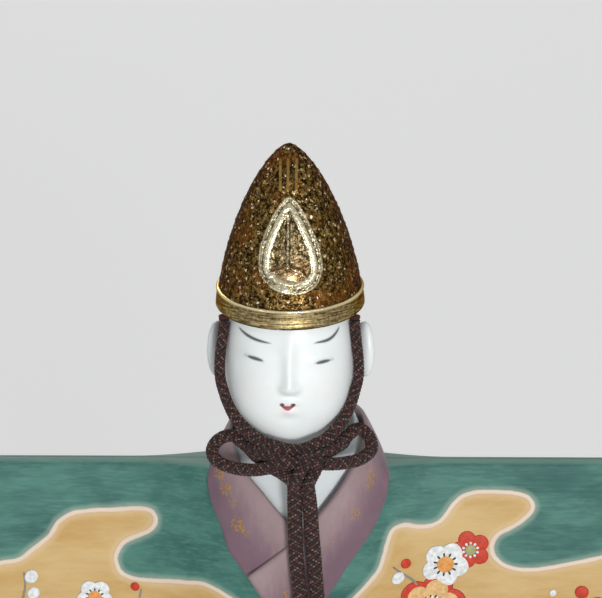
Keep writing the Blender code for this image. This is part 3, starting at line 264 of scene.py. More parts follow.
def plain_copy(made, name):
    """The evaluated mesh of an object as a new plain object; the old one goes."""
    depsgraph = bpy.context.evaluated_depsgraph_get()
    mesh = bpy.data.meshes.new_from_object(made.evaluated_get(depsgraph))
    bpy.data.objects.remove(made, do_unlink=True)
    kept = bpy.data.objects.new(name, mesh)
    mesh.name = name
    bpy.context.scene.collection.objects.link(kept)
    return kept


def finish_piece(made, material, slot, body, *nodes):
    """Give a piece its finish and its body, and hide the solids it stands for; its slot is not used."""
    if material:
        made.data.materials.clear()
        made.data.materials.append(material)
    if nodes:
        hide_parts(*nodes)
    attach(made, body)
    triangles = sum(len(face.vertices) - 2 for face in made.data.polygons)
    print(made.name, "has", triangles, "triangles")
    return made


def number_attribute(made, name, values):
    """Store one number for each vertex, for a shader to read."""
    layer = made.data.attributes.new(name, "FLOAT", "POINT")
    layer.data.foreach_set("value", np.asarray(values, np.float32))


def smooth_share(share):
    """A share from 0 to 1 that starts and ends level; works on arrays too."""
    share = np.clip(share, 0.0, 1.0)
    return share * share * (3 - 2 * share)


def mix(first, second, share):
    return first + (second - first) * share


def mesh_points(made):
    """All vertex places of a mesh, as an array."""
    places = np.empty(len(made.data.vertices) * 3, np.float32)
    made.data.vertices.foreach_get("co", places)
    return places.reshape(-1, 3).astype(float)


def set_points(made, points):
    made.data.vertices.foreach_set("co", np.asarray(points, np.float32).ravel())
    made.data.update()


print("mesh helpers are ready")

# %% [markdown]
# ## The cord's routes
# The cord is a soft silk braid, 3 mm thick. Two straps come down from under the rim of the hat
# past the jaw, and meet in a bow under the chin: two loops to the sides and two long tails. The
# routes repeat those of the solid model. Each stretch is one smooth curve through its points.

# %% Routes of the cord
CORD_DIAMETER = 3.0 * MM
ROUTES = {
    "chin_strap_left": (
        (0.0148, -0.0080, 0.2040), (0.0148, -0.0080, 0.2026), (0.0152, -0.0084, 0.1990),
        (0.0156, -0.0088, 0.1950), (0.0156, -0.0091, 0.1915), (0.0149, -0.0097, 0.1885),
        (0.0139, -0.0108, 0.1855), (0.0122, -0.0124, 0.1830), (0.0101, -0.0143, 0.1810),
        (0.0084, -0.0159, 0.1797), (0.0067, -0.0171, 0.1788)),
    "chin_strap_right": (
        (-0.0148, -0.0080, 0.2040), (-0.0148, -0.0080, 0.2026), (-0.0154, -0.0085, 0.1985),
        (-0.0158, -0.0088, 0.1945), (-0.0157, -0.0092, 0.1910), (-0.0149, -0.0099, 0.1880),
        (-0.0138, -0.0110, 0.1854), (-0.0118, -0.0126, 0.1828), (-0.0088, -0.0147, 0.1805),
        (-0.0062, -0.0163, 0.1791), (-0.0045, -0.0172, 0.1784)),
    "bow_loop_left": (
        (0.0080, -0.0178, 0.1757), (0.0100, -0.0150, 0.1758), (0.0122, -0.0124, 0.1772),
        (0.0148, -0.0108, 0.1788), (0.0172, -0.0112, 0.1774), (0.0179, -0.0134, 0.1750),
        (0.0156, -0.0158, 0.1736), (0.0124, -0.0180, 0.1734), (0.0096, -0.0197, 0.1737),
        (0.0074, -0.0208, 0.1741)),
    "bow_loop_right": (
        (-0.0056, -0.0178, 0.1753), (-0.0072, -0.0152, 0.1753), (-0.0094, -0.0130, 0.1768),
        (-0.0125, -0.0116, 0.1787), (-0.0156, -0.0117, 0.1777), (-0.0169, -0.0130, 0.1755),
        (-0.0154, -0.0148, 0.1737), (-0.0118, -0.0166, 0.1729), (-0.0076, -0.0187, 0.1732),
        (-0.0040, -0.0205, 0.1743)),
    "tail_left": (
        (0.0044, -0.0206, 0.1702), (0.0050, -0.0204, 0.1650), (0.0052, -0.0202, 0.1590),
        (0.0056, -0.0201, 0.1510), (0.0062, -0.0201, 0.1430), (0.0064, -0.0201, 0.1350),
        (0.0062, -0.0202, 0.1270), (0.0060, -0.0203, 0.1200)),
    "tail_right": (
        (0.0010, -0.0206, 0.1702), (0.0010, -0.0204, 0.1650), (0.0012, -0.0202, 0.1590),
        (0.0018, -0.0201, 0.1510), (0.0026, -0.0201, 0.1430), (0.0025, -0.0201, 0.1350),
        (0.0015, -0.0202, 0.1270), (0.0006, -0.0203, 0.1200)),
}
ROUTE_STEPS = 20
CORD_POINTS = 60


def smooth_route(route, count=CORD_POINTS):
    """Evenly spaced points on a smooth curve through a route's own points, and its length."""
    places = [Vector(place) for place in route]
    places = [places[0] * 2 - places[1]] + places + [places[-1] * 2 - places[-2]]
    fine = []
    for index in range(1, len(places) - 2):
        p0, p1, p2, p3 = places[index - 1:index + 3]
        for step in range(ROUTE_STEPS):
            t = step / ROUTE_STEPS
            fine.append(0.5 * (2 * p1 + (p2 - p0) * t + (2 * p0 - 5 * p1 + 4 * p2 - p3) * t * t
                               + (3 * p1 - p0 - 3 * p2 + p3) * t * t * t))
    fine.append(places[-2])
    lengths = [0.0]
    for before, after in zip(fine, fine[1:]):
        lengths.append(lengths[-1] + (after - before).length)
    spaced = []
    for number in range(count):
        target = lengths[-1] * number / (count - 1)
        place = min(max(bisect.bisect_right(lengths, target) - 1, 0), len(fine) - 2)
        share = (target - lengths[place]) / (lengths[place + 1] - lengths[place])
        spaced.append(fine[place].lerp(fine[place + 1], min(share, 1.0)))
    return spaced, lengths[-1]


for name, route in ROUTES.items():
    print(name, "is", round(smooth_route(route)[1] / MM, 1), "mm long")

# %% [markdown]
# ## Braiding the cord with Geometry Nodes
# A round braid is a set of yarns that wind both ways round a core and pass over and under each
# other. That is a rule, so a node tree makes it: the route is copied once for each yarn, every
# copy winds round the route, and its distance from the middle goes in and out like a wave. Where
# a left-hand yarn is out, the right-hand one that crosses it is in.

# %% A tree of geometry nodes, and the braid
class Tree:
    """A geometry node tree whose nodes and links are written in one line each."""

    def __init__(self, name, inputs):
        self.tree = bpy.data.node_groups.new(name, "GeometryNodeTree")
        self.tree.interface.new_socket("Geometry", in_out="INPUT", socket_type="NodeSocketGeometry")
        for label, kind in inputs:
            self.tree.interface.new_socket(label, in_out="INPUT", socket_type="NodeSocket" + kind)
        self.tree.interface.new_socket("Geometry", in_out="OUTPUT", socket_type="NodeSocketGeometry")
        self.inputs = self.tree.nodes.new("NodeGroupInput").outputs
        self.result = self.tree.nodes.new("NodeGroupOutput").inputs[0]

    def node(self, kind, settings=None, sockets=None, output=0):
        made = self.tree.nodes.new(kind)
        for key, value in (settings or {}).items():
            setattr(made, key, value)
        for key, value in (sockets or {}).items():
            if isinstance(value, bpy.types.NodeSocket):
                self.tree.links.new(value, made.inputs[key])
            else:
                made.inputs[key].default_value = value
        return made.outputs[output]

    def maths(self, operation, *values):
        return self.node("ShaderNodeMath", {"operation": operation}, dict(enumerate(values)))

    def vector(self, operation, sockets):
        return self.node("ShaderNodeVectorMath", {"operation": operation}, sockets)

    def store(self, geometry, name, value, kind="FLOAT", domain="POINT"):
        return self.node("GeometryNodeStoreNamedAttribute", {"data_type": kind, "domain": domain},
                         {"Geometry": geometry, "Name": name, "Value": value})

    def read(self, name, kind="FLOAT"):
        return self.node("GeometryNodeInputNamedAttribute", {"data_type": kind}, {"Name": name})

    def end(self, geometry, material):
        real = self.node("GeometryNodeRealizeInstances", None, {0: geometry})
        painted = self.node("GeometryNodeSetMaterial", None, {"Geometry": real, "Material": material})
        smooth = self.node("GeometryNodeSetShadeSmooth", None, {0: painted})
        self.tree.links.new(smooth, self.result)

    def run(self, target, name, **values):
        """Apply the tree to an object with these inputs and return a plain mesh object."""
        modifier = target.modifiers.new(name, "NODES")
        modifier.node_group = self.tree
        labels = {item.name: item.identifier for item in self.tree.interface.items_tree
                  if item.in_out == "INPUT"}
        for label, value in values.items():
            modifier[labels[label.replace("_", " ")]] = value
        return plain_copy(target, name)


YARNS_EACH_WAY = 8
BRAID_PITCH = 6.2 * MM
BRAID_STEP = 0.17 * MM
YARN_RADIUS = 0.27 * MM
YARN_WAVE = 0.13 * MM
CORE_RADIUS = 1.0 * MM


def braid_tree():
    """The node tree that braids yarns round a curve."""
    braid = Tree("braid", (("Yarn Path Radius", "Float"), ("Yarn Radius", "Float"), ("Pitch", "Float"),
                           ("Step", "Float"), ("Yarns Each Way", "Int"), ("Wave", "Float"),
                           ("Core Radius", "Float"), ("Material", "Material")))
    given = braid.inputs
    line = braid.node("GeometryNodeResampleCurve", {"mode": "LENGTH"},
                      {"Curve": given["Geometry"], "Length": given["Step"]})
    run = braid.node("GeometryNodeSplineParameter", output="Length")
    line = braid.store(line, "run", run)
    forward = braid.node("GeometryNodeInputTangent")
    line = braid.store(line, "forward", forward, "FLOAT_VECTOR")
    side = braid.node("GeometryNodeInputNormal")
    line = braid.store(line, "side", side, "FLOAT_VECTOR")
    both_ways = braid.maths("MULTIPLY", given["Yarns Each Way"], 2.0)
    copies = braid.tree.nodes.new("GeometryNodeDuplicateElements")
    copies.domain = "SPLINE"
    braid.tree.links.new(line, copies.inputs["Geometry"])
    braid.tree.links.new(both_ways, copies.inputs["Amount"])
    yarns = copies.outputs["Geometry"]
    number = copies.outputs["Duplicate Index"]
    odd = braid.maths("MODULO", number, 2.0)
    hand = braid.maths("SUBTRACT", 1.0, braid.maths("MULTIPLY", odd, 2.0))
    start = braid.maths("FLOOR", braid.maths("DIVIDE", number, 2.0))
    start = braid.maths("DIVIDE", start, given["Yarns Each Way"])
    turns = braid.maths("DIVIDE", braid.read("run"), given["Pitch"])
    angle = braid.maths("ADD", braid.maths("MULTIPLY", turns, hand), start)
    angle = braid.maths("MULTIPLY", angle, math.tau)
    wave = braid.maths("MULTIPLY", braid.maths("MULTIPLY", turns, given["Yarns Each Way"]), math.tau)
    wave = braid.maths("MULTIPLY", braid.maths("COSINE", wave), hand)
    reach = braid.maths("MULTIPLY_ADD", wave, given["Wave"], given["Yarn Path Radius"])
    yarns = braid.store(yarns, "yarn", number)
    yarns = braid.store(yarns, "lift", wave)
    ahead = braid.read("forward", "FLOAT_VECTOR")
    aside = braid.read("side", "FLOAT_VECTOR")
    other = braid.vector("CROSS_PRODUCT", {0: ahead, 1: aside})
    cosine = braid.maths("MULTIPLY", braid.maths("COSINE", angle), reach)
    sine = braid.maths("MULTIPLY", braid.maths("SINE", angle), reach)
    offset = braid.vector("ADD", {0: braid.vector("SCALE", {0: aside, "Scale": cosine}),
                                  1: braid.vector("SCALE", {0: other, "Scale": sine})})
    yarns = braid.node("GeometryNodeSetPosition", None, {"Geometry": yarns, "Offset": offset})
    section = braid.node("GeometryNodeCurvePrimitiveCircle", None,
                         {"Resolution": 6, "Radius": given["Yarn Radius"]})
    yarns = braid.node("GeometryNodeCurveToMesh", None,
                       {"Curve": yarns, "Profile Curve": section, "Fill Caps": True})
    middle = braid.node("GeometryNodeCurvePrimitiveCircle", None,
                        {"Resolution": 14, "Radius": given["Core Radius"]})
    thick = braid.node("GeometryNodeResampleCurve", {"mode": "LENGTH"},
                       {"Curve": given["Geometry"], "Length": 0.6 * MM})
    thick = braid.node("GeometryNodeCurveToMesh", None,
                       {"Curve": thick, "Profile Curve": middle, "Fill Caps": True})
    joined = braid.tree.nodes.new("GeometryNodeJoinGeometry")
    braid.tree.links.new(yarns, joined.inputs[0])
    braid.tree.links.new(thick, joined.inputs[0])
    braid.end(joined.outputs[0], given["Material"])
    return braid


def curve_object(name, points):
    """A curve object of one open spline through the points."""
    data = bpy.data.curves.new(name, "CURVE")
    data.dimensions = "3D"
    line = data.splines.new("POLY")
    line.points.add(len(points) - 1)
    for slot, place in zip(line.points, points):
        slot.co = (*place, 1.0)
    made = bpy.data.objects.new(name, data)
    bpy.context.scene.collection.objects.link(made)
    return made


BRAID = braid_tree()


def braided(name, route, material, diameter=CORD_DIAMETER):
    """A braided cord along a route, as a plain mesh, with the points that it follows."""
    points, length = smooth_route(route)
    thick = diameter / CORD_DIAMETER
    path_radius = CORD_DIAMETER / 2 - YARN_RADIUS - YARN_WAVE
    made = BRAID.run(curve_object(name + " line", points), name, Yarn_Path_Radius=path_radius * thick,
                     Yarn_Radius=YARN_RADIUS * thick, Pitch=BRAID_PITCH * thick,
                     Step=BRAID_STEP * thick, Yarns_Each_Way=YARNS_EACH_WAY, Wave=YARN_WAVE * thick,
                     Core_Radius=CORE_RADIUS * thick, Material=material)
    return made, points, length


print("the braid tree has", len(BRAID.tree.nodes), "nodes")

# %% [markdown]
# ## The cord's finish
# Silk braid is nearly black here, with one reddish and one pale yarn in every three, which show as
# small flecks where they come to the top. The braid tree stored the number of each yarn and how far
# out it lies, so the finish can colour only the crowns of those yarns. Every yarn is also painted
# darker where it dips under and lighter on its crown, as painted shade and painted highlight.

# %% Finish of the cord
def brown_braid():
    silk = Finish("brown braid", Specular_IOR_Level=0.4, Sheen_Weight=0.1, Sheen_Roughness=0.4)
    lift = silk.attribute("lift")
    crown = lift.fade(0.0, 0.9)
    top = lift.fade(0.45, 0.95)
    third = (silk.attribute("yarn") * (math.tau / 3)).sine()
    uneven = silk.noise(1.4 * MM, detail=2.0).fade(0.30, 0.62)
    # Painted shade and painted highlight: each yarn is darker where it dips under and lighter on its crown.
    base = silk.mixed(crown, srgb(7, 4, 4), srgb(30, 19, 18))
    reddish = (third * -1.0).fade(0.3, 0.8) * crown
    warm = silk.mixed(reddish * 0.8, base, srgb(92, 44, 38))
    pale = third.fade(0.3, 0.8) * top
    silk.put("Base Color", silk.mixed(pale * (uneven * 0.6 + 0.25), warm, srgb(148, 114, 102)))
    silk.put("Roughness", 0.7 - pale * 0.25)
    fibres = silk.noise(0.12 * MM, detail=2.0)
    silk.bump(fibres, 0.05 * MM, 0.5)
    return silk.material


SILK = brown_braid()
print("finish:", SILK.name)

# %% [markdown]
# ## Straps, loops and tails
# Each free stretch of the cord is its own piece, braided along its route at the cord's diameter.
# The straps end in the knot, the loops leave it and go back into it, and the tails end in tassels.
# Silk gives where it lies on something: a strap is drawn in against the cheek and narrows there,
# the tails spread a little on the robe and lean together under the knot, and one loop stands up.

# %% Braid the free stretches
CHEEK_PULL = 0.6 * MM
CHEEK_LOW_Z = 180 * MM
CHEEK_HIGH_Z = 186 * MM
LOOP_RISE = 1.3 * MM
TAIL_LEAN = 0.35 * MM
TAIL_LOW_Z = 152 * MM
TAIL_HIGH_Z = 166 * MM
# How wide and how deep the settled cord is, as shares of its round section.
SPREADS = {"chin_strap": (0.84, 1.0), "bow_loop": (1.0, 1.0), "tail": (1.16, 0.92)}


def settle(name, made, points):
    """Move and squeeze one stretch of braid as its silk gives; returns the points it then follows."""
    kind, side = name.rsplit("_", 1)
    route = np.array([tuple(point) for point in points])
    sign = 1 if side == "left" else -1
    cheek = smooth_share((route[:, 2] - CHEEK_LOW_Z) / (CHEEK_HIGH_Z - CHEEK_LOW_Z))
    shift = np.zeros_like(route)
    if kind == "chin_strap":
        shift[:, 0] = -sign * CHEEK_PULL * cheek
    elif kind == "tail":
        shift[:, 0] = -sign * TAIL_LEAN * smooth_share(
            (route[:, 2] - TAIL_LOW_Z) / (TAIL_HIGH_Z - TAIL_LOW_Z))
    elif side == "left":
        shift[:, 2] = LOOP_RISE
    wide, deep = SPREADS[kind]
    share = cheek if kind == "chin_strap" else np.ones(len(route))
    places = mesh_points(made)
    near = np.linalg.norm(places[:, None] - route[None], axis=2).argmin(1)
    away = places - route[near]
    away[:, 0] *= mix(1.0, wide, share)[near]
    away[:, 1] *= mix(1.0, deep, share)[near]
    slide = np.gradient(shift, axis=0)
    step = np.gradient(route, axis=0)
    along = ((places - route[near]) * step[near]).sum(1) / (step[near] ** 2).sum(1)
    set_points(made, route[near] + shift[near] + slide[near] * along[:, None] + away)
    return [Vector(place) for place in route + shift]


cords = {}
for name, route in ROUTES.items():
    kind = name.rsplit("_", 1)[0]
    made, points, length = braided(name + "_braid", route, SILK)
    points = settle(name, made, points)
    finish_piece(made, None, "brown_cord", "head", name)
    cords[name] = (made, points, length, kind)

# %% [markdown]
# ## The knot
# A bow's knot is the same cord, wound once round the crossing and folded over on itself. It is
# braided by the same tree: one object with several short routes, which lie over each other.

# %% Knot of the bow
KNOT_ROUTES = (
    ((-0.0042, -0.0174, 0.1787), (-0.0012, -0.0186, 0.1781), (0.0018, -0.0190, 0.1778),
     (0.0044, -0.0184, 0.1783), (0.0064, -0.0173, 0.1790)),
    ((-0.0044, -0.0202, 0.1745), (-0.0014, -0.0206, 0.1752), (0.0020, -0.0207, 0.1756),
     (0.0050, -0.0206, 0.1756), (0.0076, -0.0206, 0.1754)),
    ((0.0040, -0.0180, 0.1780), (0.0040, -0.0204, 0.1771), (0.0032, -0.0218, 0.1753),
     (0.0022, -0.0216, 0.1732), (0.0014, -0.0209, 0.1714), (0.0013, -0.0206, 0.1702)),
    ((0.0060, -0.0188, 0.1770), (0.0063, -0.0206, 0.1757), (0.0057, -0.0215, 0.1738),
     (0.0047, -0.0212, 0.1718), (0.0042, -0.0206, 0.1700)),
    ((-0.0090, -0.0138, 0.1768), (-0.0070, -0.0166, 0.1767), (-0.0046, -0.0188, 0.1766),
     (-0.0020, -0.0198, 0.1763), (0.0006, -0.0202, 0.1759)),
    ((0.0114, -0.0134, 0.1782), (0.0094, -0.0162, 0.1771), (0.0070, -0.0186, 0.1767),
     (0.0044, -0.0198, 0.1763), (0.0020, -0.0204, 0.1760)),
    ((-0.0044, -0.0200, 0.1745), (-0.0022, -0.0210, 0.1737), (-0.0003, -0.0212, 0.1725),
     (0.0010, -0.0209, 0.1711), (0.0013, -0.0206, 0.1702)),
    ((0.0010, -0.0192, 0.1750), (0.0017, -0.0199, 0.1734), (0.0026, -0.0199, 0.1712),
     (0.0028, -0.0194, 0.1690)),
    ((0.0042, -0.0190, 0.1756), (0.0044, -0.0198, 0.1738), (0.0040, -0.0198, 0.1718)),
    ((-0.0062, -0.0172, 0.1776), (-0.0036, -0.0184, 0.1772), (0.0000, -0.0190, 0.1768)),
)
KNOT_POINTS = 24


def many_lines(name, routes):
    """One curve object with a spline for each short route."""
    made = curve_object(name, smooth_route(routes[0], KNOT_POINTS)[0])
    for route in routes[1:]:
        points = smooth_route(route, KNOT_POINTS)[0]
        line = made.data.splines.new("POLY")
        line.points.add(len(points) - 1)
        for slot, place in zip(line.points, points):
            slot.co = (*place, 1.0)
    return made


def tie_knot():
    """The braided knot, with slightly thinner cord because it is pulled tight."""
    thick = 0.97
    path_radius = (CORD_DIAMETER / 2 - YARN_RADIUS - YARN_WAVE) * thick
    made = BRAID.run(many_lines("knot lines", KNOT_ROUTES), "bow_knot_braid",
                     Yarn_Path_Radius=path_radius, Yarn_Radius=YARN_RADIUS * thick,
                     Pitch=BRAID_PITCH * thick, Step=BRAID_STEP, Yarns_Each_Way=YARNS_EACH_WAY,
                     Wave=YARN_WAVE * thick, Core_Radius=CORE_RADIUS * thick, Material=SILK)
    return finish_piece(made, None, "brown_cord", "head", "bow_knot")


tie_knot()

# %% [markdown]
# ## Tassels
# A tail ends in a cut tassel: yarns that hang from a bound head. Points in a sunflower pattern
# give every yarn its own place, a line is set at each, and the lines spread a little as they fall.

# %% Tassels
TASSEL_YARNS = 61
TASSEL_LENGTH = 11 * MM
TASSEL_RADIUS = 2.1 * MM
GOLDEN_ANGLE = math.pi * (3 - math.sqrt(5))


def tassel_tree():
    """The node tree that hangs yarns under a point."""
    tassel = Tree("tassel", (("Top", "Vector"), ("Radius", "Float"), ("Length", "Float"), ("Yarns", "Int"),
                             ("Yarn Radius", "Float"), ("Material", "Material")))
    given = tassel.inputs
    spots = tassel.node("GeometryNodePoints", None, {"Count": given["Yarns"]})
    index = tassel.node("GeometryNodeInputIndex")
    angle = tassel.maths("MULTIPLY", index, GOLDEN_ANGLE)
    share = tassel.maths("DIVIDE", tassel.maths("ADD", index, 0.5), given["Yarns"])
    reach = tassel.maths("MULTIPLY", tassel.maths("SQRT", share), given["Radius"])
    reach = tassel.maths("MULTIPLY", reach, 0.78)
    place = tassel.node("ShaderNodeCombineXYZ", None,
                        {0: tassel.maths("MULTIPLY", tassel.maths("COSINE", angle), reach),
                         1: tassel.maths("MULTIPLY", tassel.maths("SINE", angle), reach)})
    spots = tassel.node("GeometryNodeSetPosition", None, {"Geometry": spots, "Position": place})
    foot = tassel.node("ShaderNodeCombineXYZ", None,
                       {2: tassel.maths("MULTIPLY", given["Length"], -1.0)})
    line = tassel.node("GeometryNodeCurvePrimitiveLine", None, {"End": foot})
    line = tassel.node("GeometryNodeResampleCurve", None, {"Curve": line, "Count": 12})
    yarns = tassel.node("GeometryNodeInstanceOnPoints", None, {"Points": spots, "Instance": line})
    yarns = tassel.node("GeometryNodeRealizeInstances", None, {0: yarns})
    here = tassel.node("GeometryNodeInputPosition")
    parts = tassel.tree.nodes.new("ShaderNodeSeparateXYZ")
    tassel.tree.links.new(here, parts.inputs[0])
    down = tassel.maths("DIVIDE", parts.outputs[2], tassel.maths("MULTIPLY", given["Length"], -1.0))
    neck = tassel.maths("COSINE", tassel.maths("MULTIPLY", down, 9.0))
    neck = tassel.maths("MULTIPLY", neck, tassel.maths("SUBTRACT", 1.0, down))
    spread = tassel.maths("ADD", tassel.maths("MULTIPLY", down, 0.3), tassel.maths("MULTIPLY", neck, 0.2))
    flat = tassel.node("ShaderNodeCombineXYZ", None, {0: parts.outputs[0], 1: parts.outputs[1]})
    wobble = tassel.node("ShaderNodeTexNoise", None, {"Vector": here, "Scale": 1 / (1.6 * MM)}, 1)
    wobble = tassel.vector("SUBTRACT", {0: wobble, 1: (0.5, 0.5, 0.5)})
    wobble = tassel.vector("SCALE", {0: wobble, "Scale": 0.45 * MM})
    offset = tassel.vector("ADD", {0: tassel.vector("SCALE", {0: flat, "Scale": spread}), 1: wobble})
    yarns = tassel.node("GeometryNodeSetPosition", None, {"Geometry": yarns, "Offset": offset})
    yarns = tassel.store(yarns, "yarn", index)
    yarns = tassel.store(yarns, "lift", 1.0)
    section = tassel.node("GeometryNodeCurvePrimitiveCircle", None,
                          {"Resolution": 5, "Radius": given["Yarn Radius"]})
    yarns = tassel.node("GeometryNodeCurveToMesh", None,
                        {"Curve": yarns, "Profile Curve": section, "Fill Caps": True})
    yarns = tassel.node("GeometryNodeTransform", None, {"Geometry": yarns, "Translation": given["Top"]})
    tassel.end(yarns, given["Material"])
    return tassel


TASSEL = tassel_tree()
TASSEL_HEAD = ((1.55, 0.0), (1.62, -0.5), (1.45, -1.1), (1.62, -1.6), (1.45, -2.1), (1.58, -2.6),
               (1.2, -2.9))


def turned_rings(profile, centre, steps):
    """Rings round a vertical line from (radius, height) pairs in millimetres."""
    points = []
    for radius, height in profile:
        for step in range(steps):
            angle = math.tau * step / steps
            points.append((centre[0] + radius * MM * math.cos(angle),
                           centre[1] + radius * MM * math.sin(angle), centre[2] + height * MM))
    return points


def hang_tassel(side):
    """One tassel under its tail, with a wound thread round its neck."""
    low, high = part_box("tassel_" + side)
    top = Vector(((low.x + high.x) / 2, (low.y + high.y) / 2, high.z - 0.2 * MM))
    seed = mesh_object("tassel seed", [top], [], outward=False)
    made = TASSEL.run(seed, "tassel_yarns_" + side, Top=top, Radius=TASSEL_RADIUS,
                      Length=TASSEL_LENGTH - 0.6 * MM, Yarns=TASSEL_YARNS, Yarn_Radius=0.16 * MM,
                      Material=SILK)
    finish_piece(made, None, "brown_cord", "head", "tassel_" + side)
    binding = mesh_object("tassel_binding_" + side, turned_rings(TASSEL_HEAD, top, 32),
                          capped(len(TASSEL_HEAD), 32))
    finish_piece(binding, SILK, "brown_cord", "head")
    return [made, binding]


tassels = {side: hang_tassel(side) for side in ("left", "right")}

# %% [markdown]
# ## The head's own frame
# Head, hat and rim share one frame: its origin is in the middle of the hat's rim, and it is tipped
# forward a little, because the doll looks down. Sizes on the face are easier to read in that frame,
# as millimetres to the doll's left, and up from the rim.

# %% Frame of the head
HEAD_Y = -1.5 * MM
RIM_Z = 206.2 * MM
HEAD_BOW = math.radians(5)
HEAD_FRAME = Matrix.Translation((0, HEAD_Y, RIM_Z)) @ Matrix.Rotation(HEAD_BOW, 4, "X")


def to_doll(points):
    """Points of the head's frame, in metres, as points of the doll's frame."""
    turn = np.array(HEAD_FRAME.to_3x3())
    return np.asarray(points) @ turn.T + np.array(HEAD_FRAME.translation)


def to_head(points):
    """Points of the doll's frame as points of the head's frame."""
    turn = np.array(HEAD_FRAME.to_3x3())
    return (np.asarray(points) - np.array(HEAD_FRAME.translation)) @ turn


def head_axes(finish):
    """The shader's place in the head's frame, in millimetres."""
    x, y, z = finish.axes(finish.place())
    y = y - HEAD_Y / MM
    z = z - RIM_Z / MM
    cosine, sine = math.cos(HEAD_BOW), math.sin(HEAD_BOW)
    return x, y * cosine + z * sine, z * cosine - y * sine


print("the rim's middle is at", [round(v / MM, 1) for v in to_doll([(0, 0, 0)])[0]])

# %% [markdown]
# ## The head
# The head is moulded from wood paste and coated with ground shell until it is smooth. An egg of
# superellipses, a neck and two scooped ears are merged by a voxel remesh, which rounds the joints
# as the coating does. Then soft lumps are pushed out or in: nose, lids, lips, cheeks and chin.

# %% Shape of the head
HEAD_HALF_WIDTH = 14.8 * MM
FACE_DEPTH = 17.2 * MM
NAPE_DEPTH = 14.8 * MM
HEAD_MIDDLE_DROP = 13.6 * MM
JAW_HEIGHT = 18.8 * MM
CROWN_HEIGHT = 26.2 * MM
JAW_POWER = 2.45
CROWN_POWER = 2.2
SECTION_POWER = 2.25
NAPE_RISE = 8.5 * MM
NECK_RADIUS = 6.4 * MM
SHOULDER_Z = 171 * MM
EAR_HALVES = Vector((1.9, 3.5, 6.6)) * MM
EAR_PLACE = Vector((16.4, 2.2, -11.8)) * MM
EAR_SPLAY = math.radians(24)
HEAD_VOXEL = 0.3 * MM
SKIN_SMOOTHING = 6

# Each lump: across and up in millimetres, half sizes, and how far it stands out.
FACE_LUMPS = (
    ("nose root", 0.2, -5.5, 1.6, 3.6, 0.55),
    ("nose bridge", 0.2, -9.8, 1.35, 3.4, 1.05),
    ("nose tip", 0.2, -13.2, 1.5, 2.0, 1.45),
    ("nostril left", 1.9, -13.6, 0.9, 0.9, 0.5),
    ("nostril right", -1.3, -13.6, 0.9, 0.9, 0.5),
    ("lid left", 7.6, -7.0, 2.9, 1.5, 0.32),
    ("lid right", -7.4, -6.4, 2.9, 1.5, 0.32),
    ("socket left", 6.6, -4.9, 3.6, 1.5, -0.22),
    ("socket right", -6.2, -4.4, 3.6, 1.5, -0.22),
    ("under eye left", 7.2, -9.6, 3.4, 1.2, -0.14),
    ("under eye right", -6.9, -9.1, 3.4, 1.2, -0.14),
    ("upper lip", 0.1, -16.9, 1.8, 0.8, 0.32),
    ("lower lip", 0.1, -19.2, 1.4, 0.8, 0.42),
    ("mouth", 0.1, -17.9, 1.6, 0.35, -0.22),
    ("under lip", 0.1, -21.0, 2.6, 0.9, -0.16),
    ("chin", 0.1, -27.0, 4.9, 3.4, 1.2),
    ("cheek left", 8.4, -14.5, 4.6, 5.4, 0.35),
    ("cheek right", -8.2, -14.2, 4.6, 5.4, 0.35),
)
NOSE_UNDER = -14.6


def power_pair(angle, power):
    """Cosine and sine of a superellipse, for arrays."""
    cosine, sine = np.cos(angle), np.sin(angle)
    return (np.copysign(np.abs(cosine) ** (2 / power), cosine),
            np.copysign(np.abs(sine) ** (2 / power), sine))


def egg(rings=64, steps=96):
    """Points and faces of the head's egg, chin first, in its own frame."""
    rise = np.linspace(-math.pi / 2, math.pi / 2, rings + 2)[1:-1, None]
    turn = np.linspace(0, math.tau, steps, endpoint=False)[None, :]
    power = np.where(rise < 0, JAW_POWER, CROWN_POWER)
    height = np.where(rise < 0, JAW_HEIGHT, CROWN_HEIGHT)
    level, climb = power_pair(rise, power)
    across, along = power_pair(turn, SECTION_POWER)
    x = HEAD_HALF_WIDTH * level * across
    y = np.where(along < 0, FACE_DEPTH, NAPE_DEPTH) * level * along
    z = -HEAD_MIDDLE_DROP + height * climb + 0 * y
    back = smooth_share((y + FACE_DEPTH / 2) / (FACE_DEPTH / 2 + NAPE_DEPTH))
    z = z + np.where(climb < 0, NAPE_RISE * -climb * back, 0.0)
    points = np.stack([x, y, z], axis=-1).reshape(-1, 3)
    return points, capped(rings, steps)


def ball(halves, place, turn, rings=24, steps=36):
    """Points and faces of a round lump, turned and moved."""
    rise = np.linspace(-math.pi / 2, math.pi / 2, rings + 2)[1:-1, None]
    round_it = np.linspace(0, math.tau, steps, endpoint=False)[None, :]
    points = np.stack([halves[0] * np.cos(rise) * np.cos(round_it),
                       halves[1] * np.cos(rise) * np.sin(round_it),
                       halves[2] * np.sin(rise) + 0 * round_it], axis=-1).reshape(-1, 3)
    return points @ np.array(turn).T + np.array(place), capped(rings, steps)


def cut_from(target, cutter, operation="DIFFERENCE"):
    """Boolean one mesh with another, and keep the result as the target's mesh."""
    fit = target.modifiers.new("fit", "BOOLEAN")
    fit.operation = operation
    fit.solver = "EXACT"
    fit.object = cutter
    name = target.name
    made = plain_copy(target, name)
    made.name = name
    bpy.data.objects.remove(cutter, do_unlink=True)
    return made


def scooped_ear(side):
    """One ear: a flat lump with a hollow scooped out of its outer front."""
    turn = Matrix.Rotation(side * EAR_SPLAY, 3, "Z")
    place = Vector((side * EAR_PLACE.x, EAR_PLACE.y, EAR_PLACE.z))
    ear = mesh_object("ear", *ball(EAR_HALVES, place, turn))
    hollow_place = place + turn @ Vector((side * EAR_HALVES.x * 1.05, -EAR_HALVES.x * 0.5, 0.9 * MM))
    hollow = mesh_object("hollow", *ball(EAR_HALVES * 0.58, hollow_place, turn))
    return cut_from(ear, hollow)


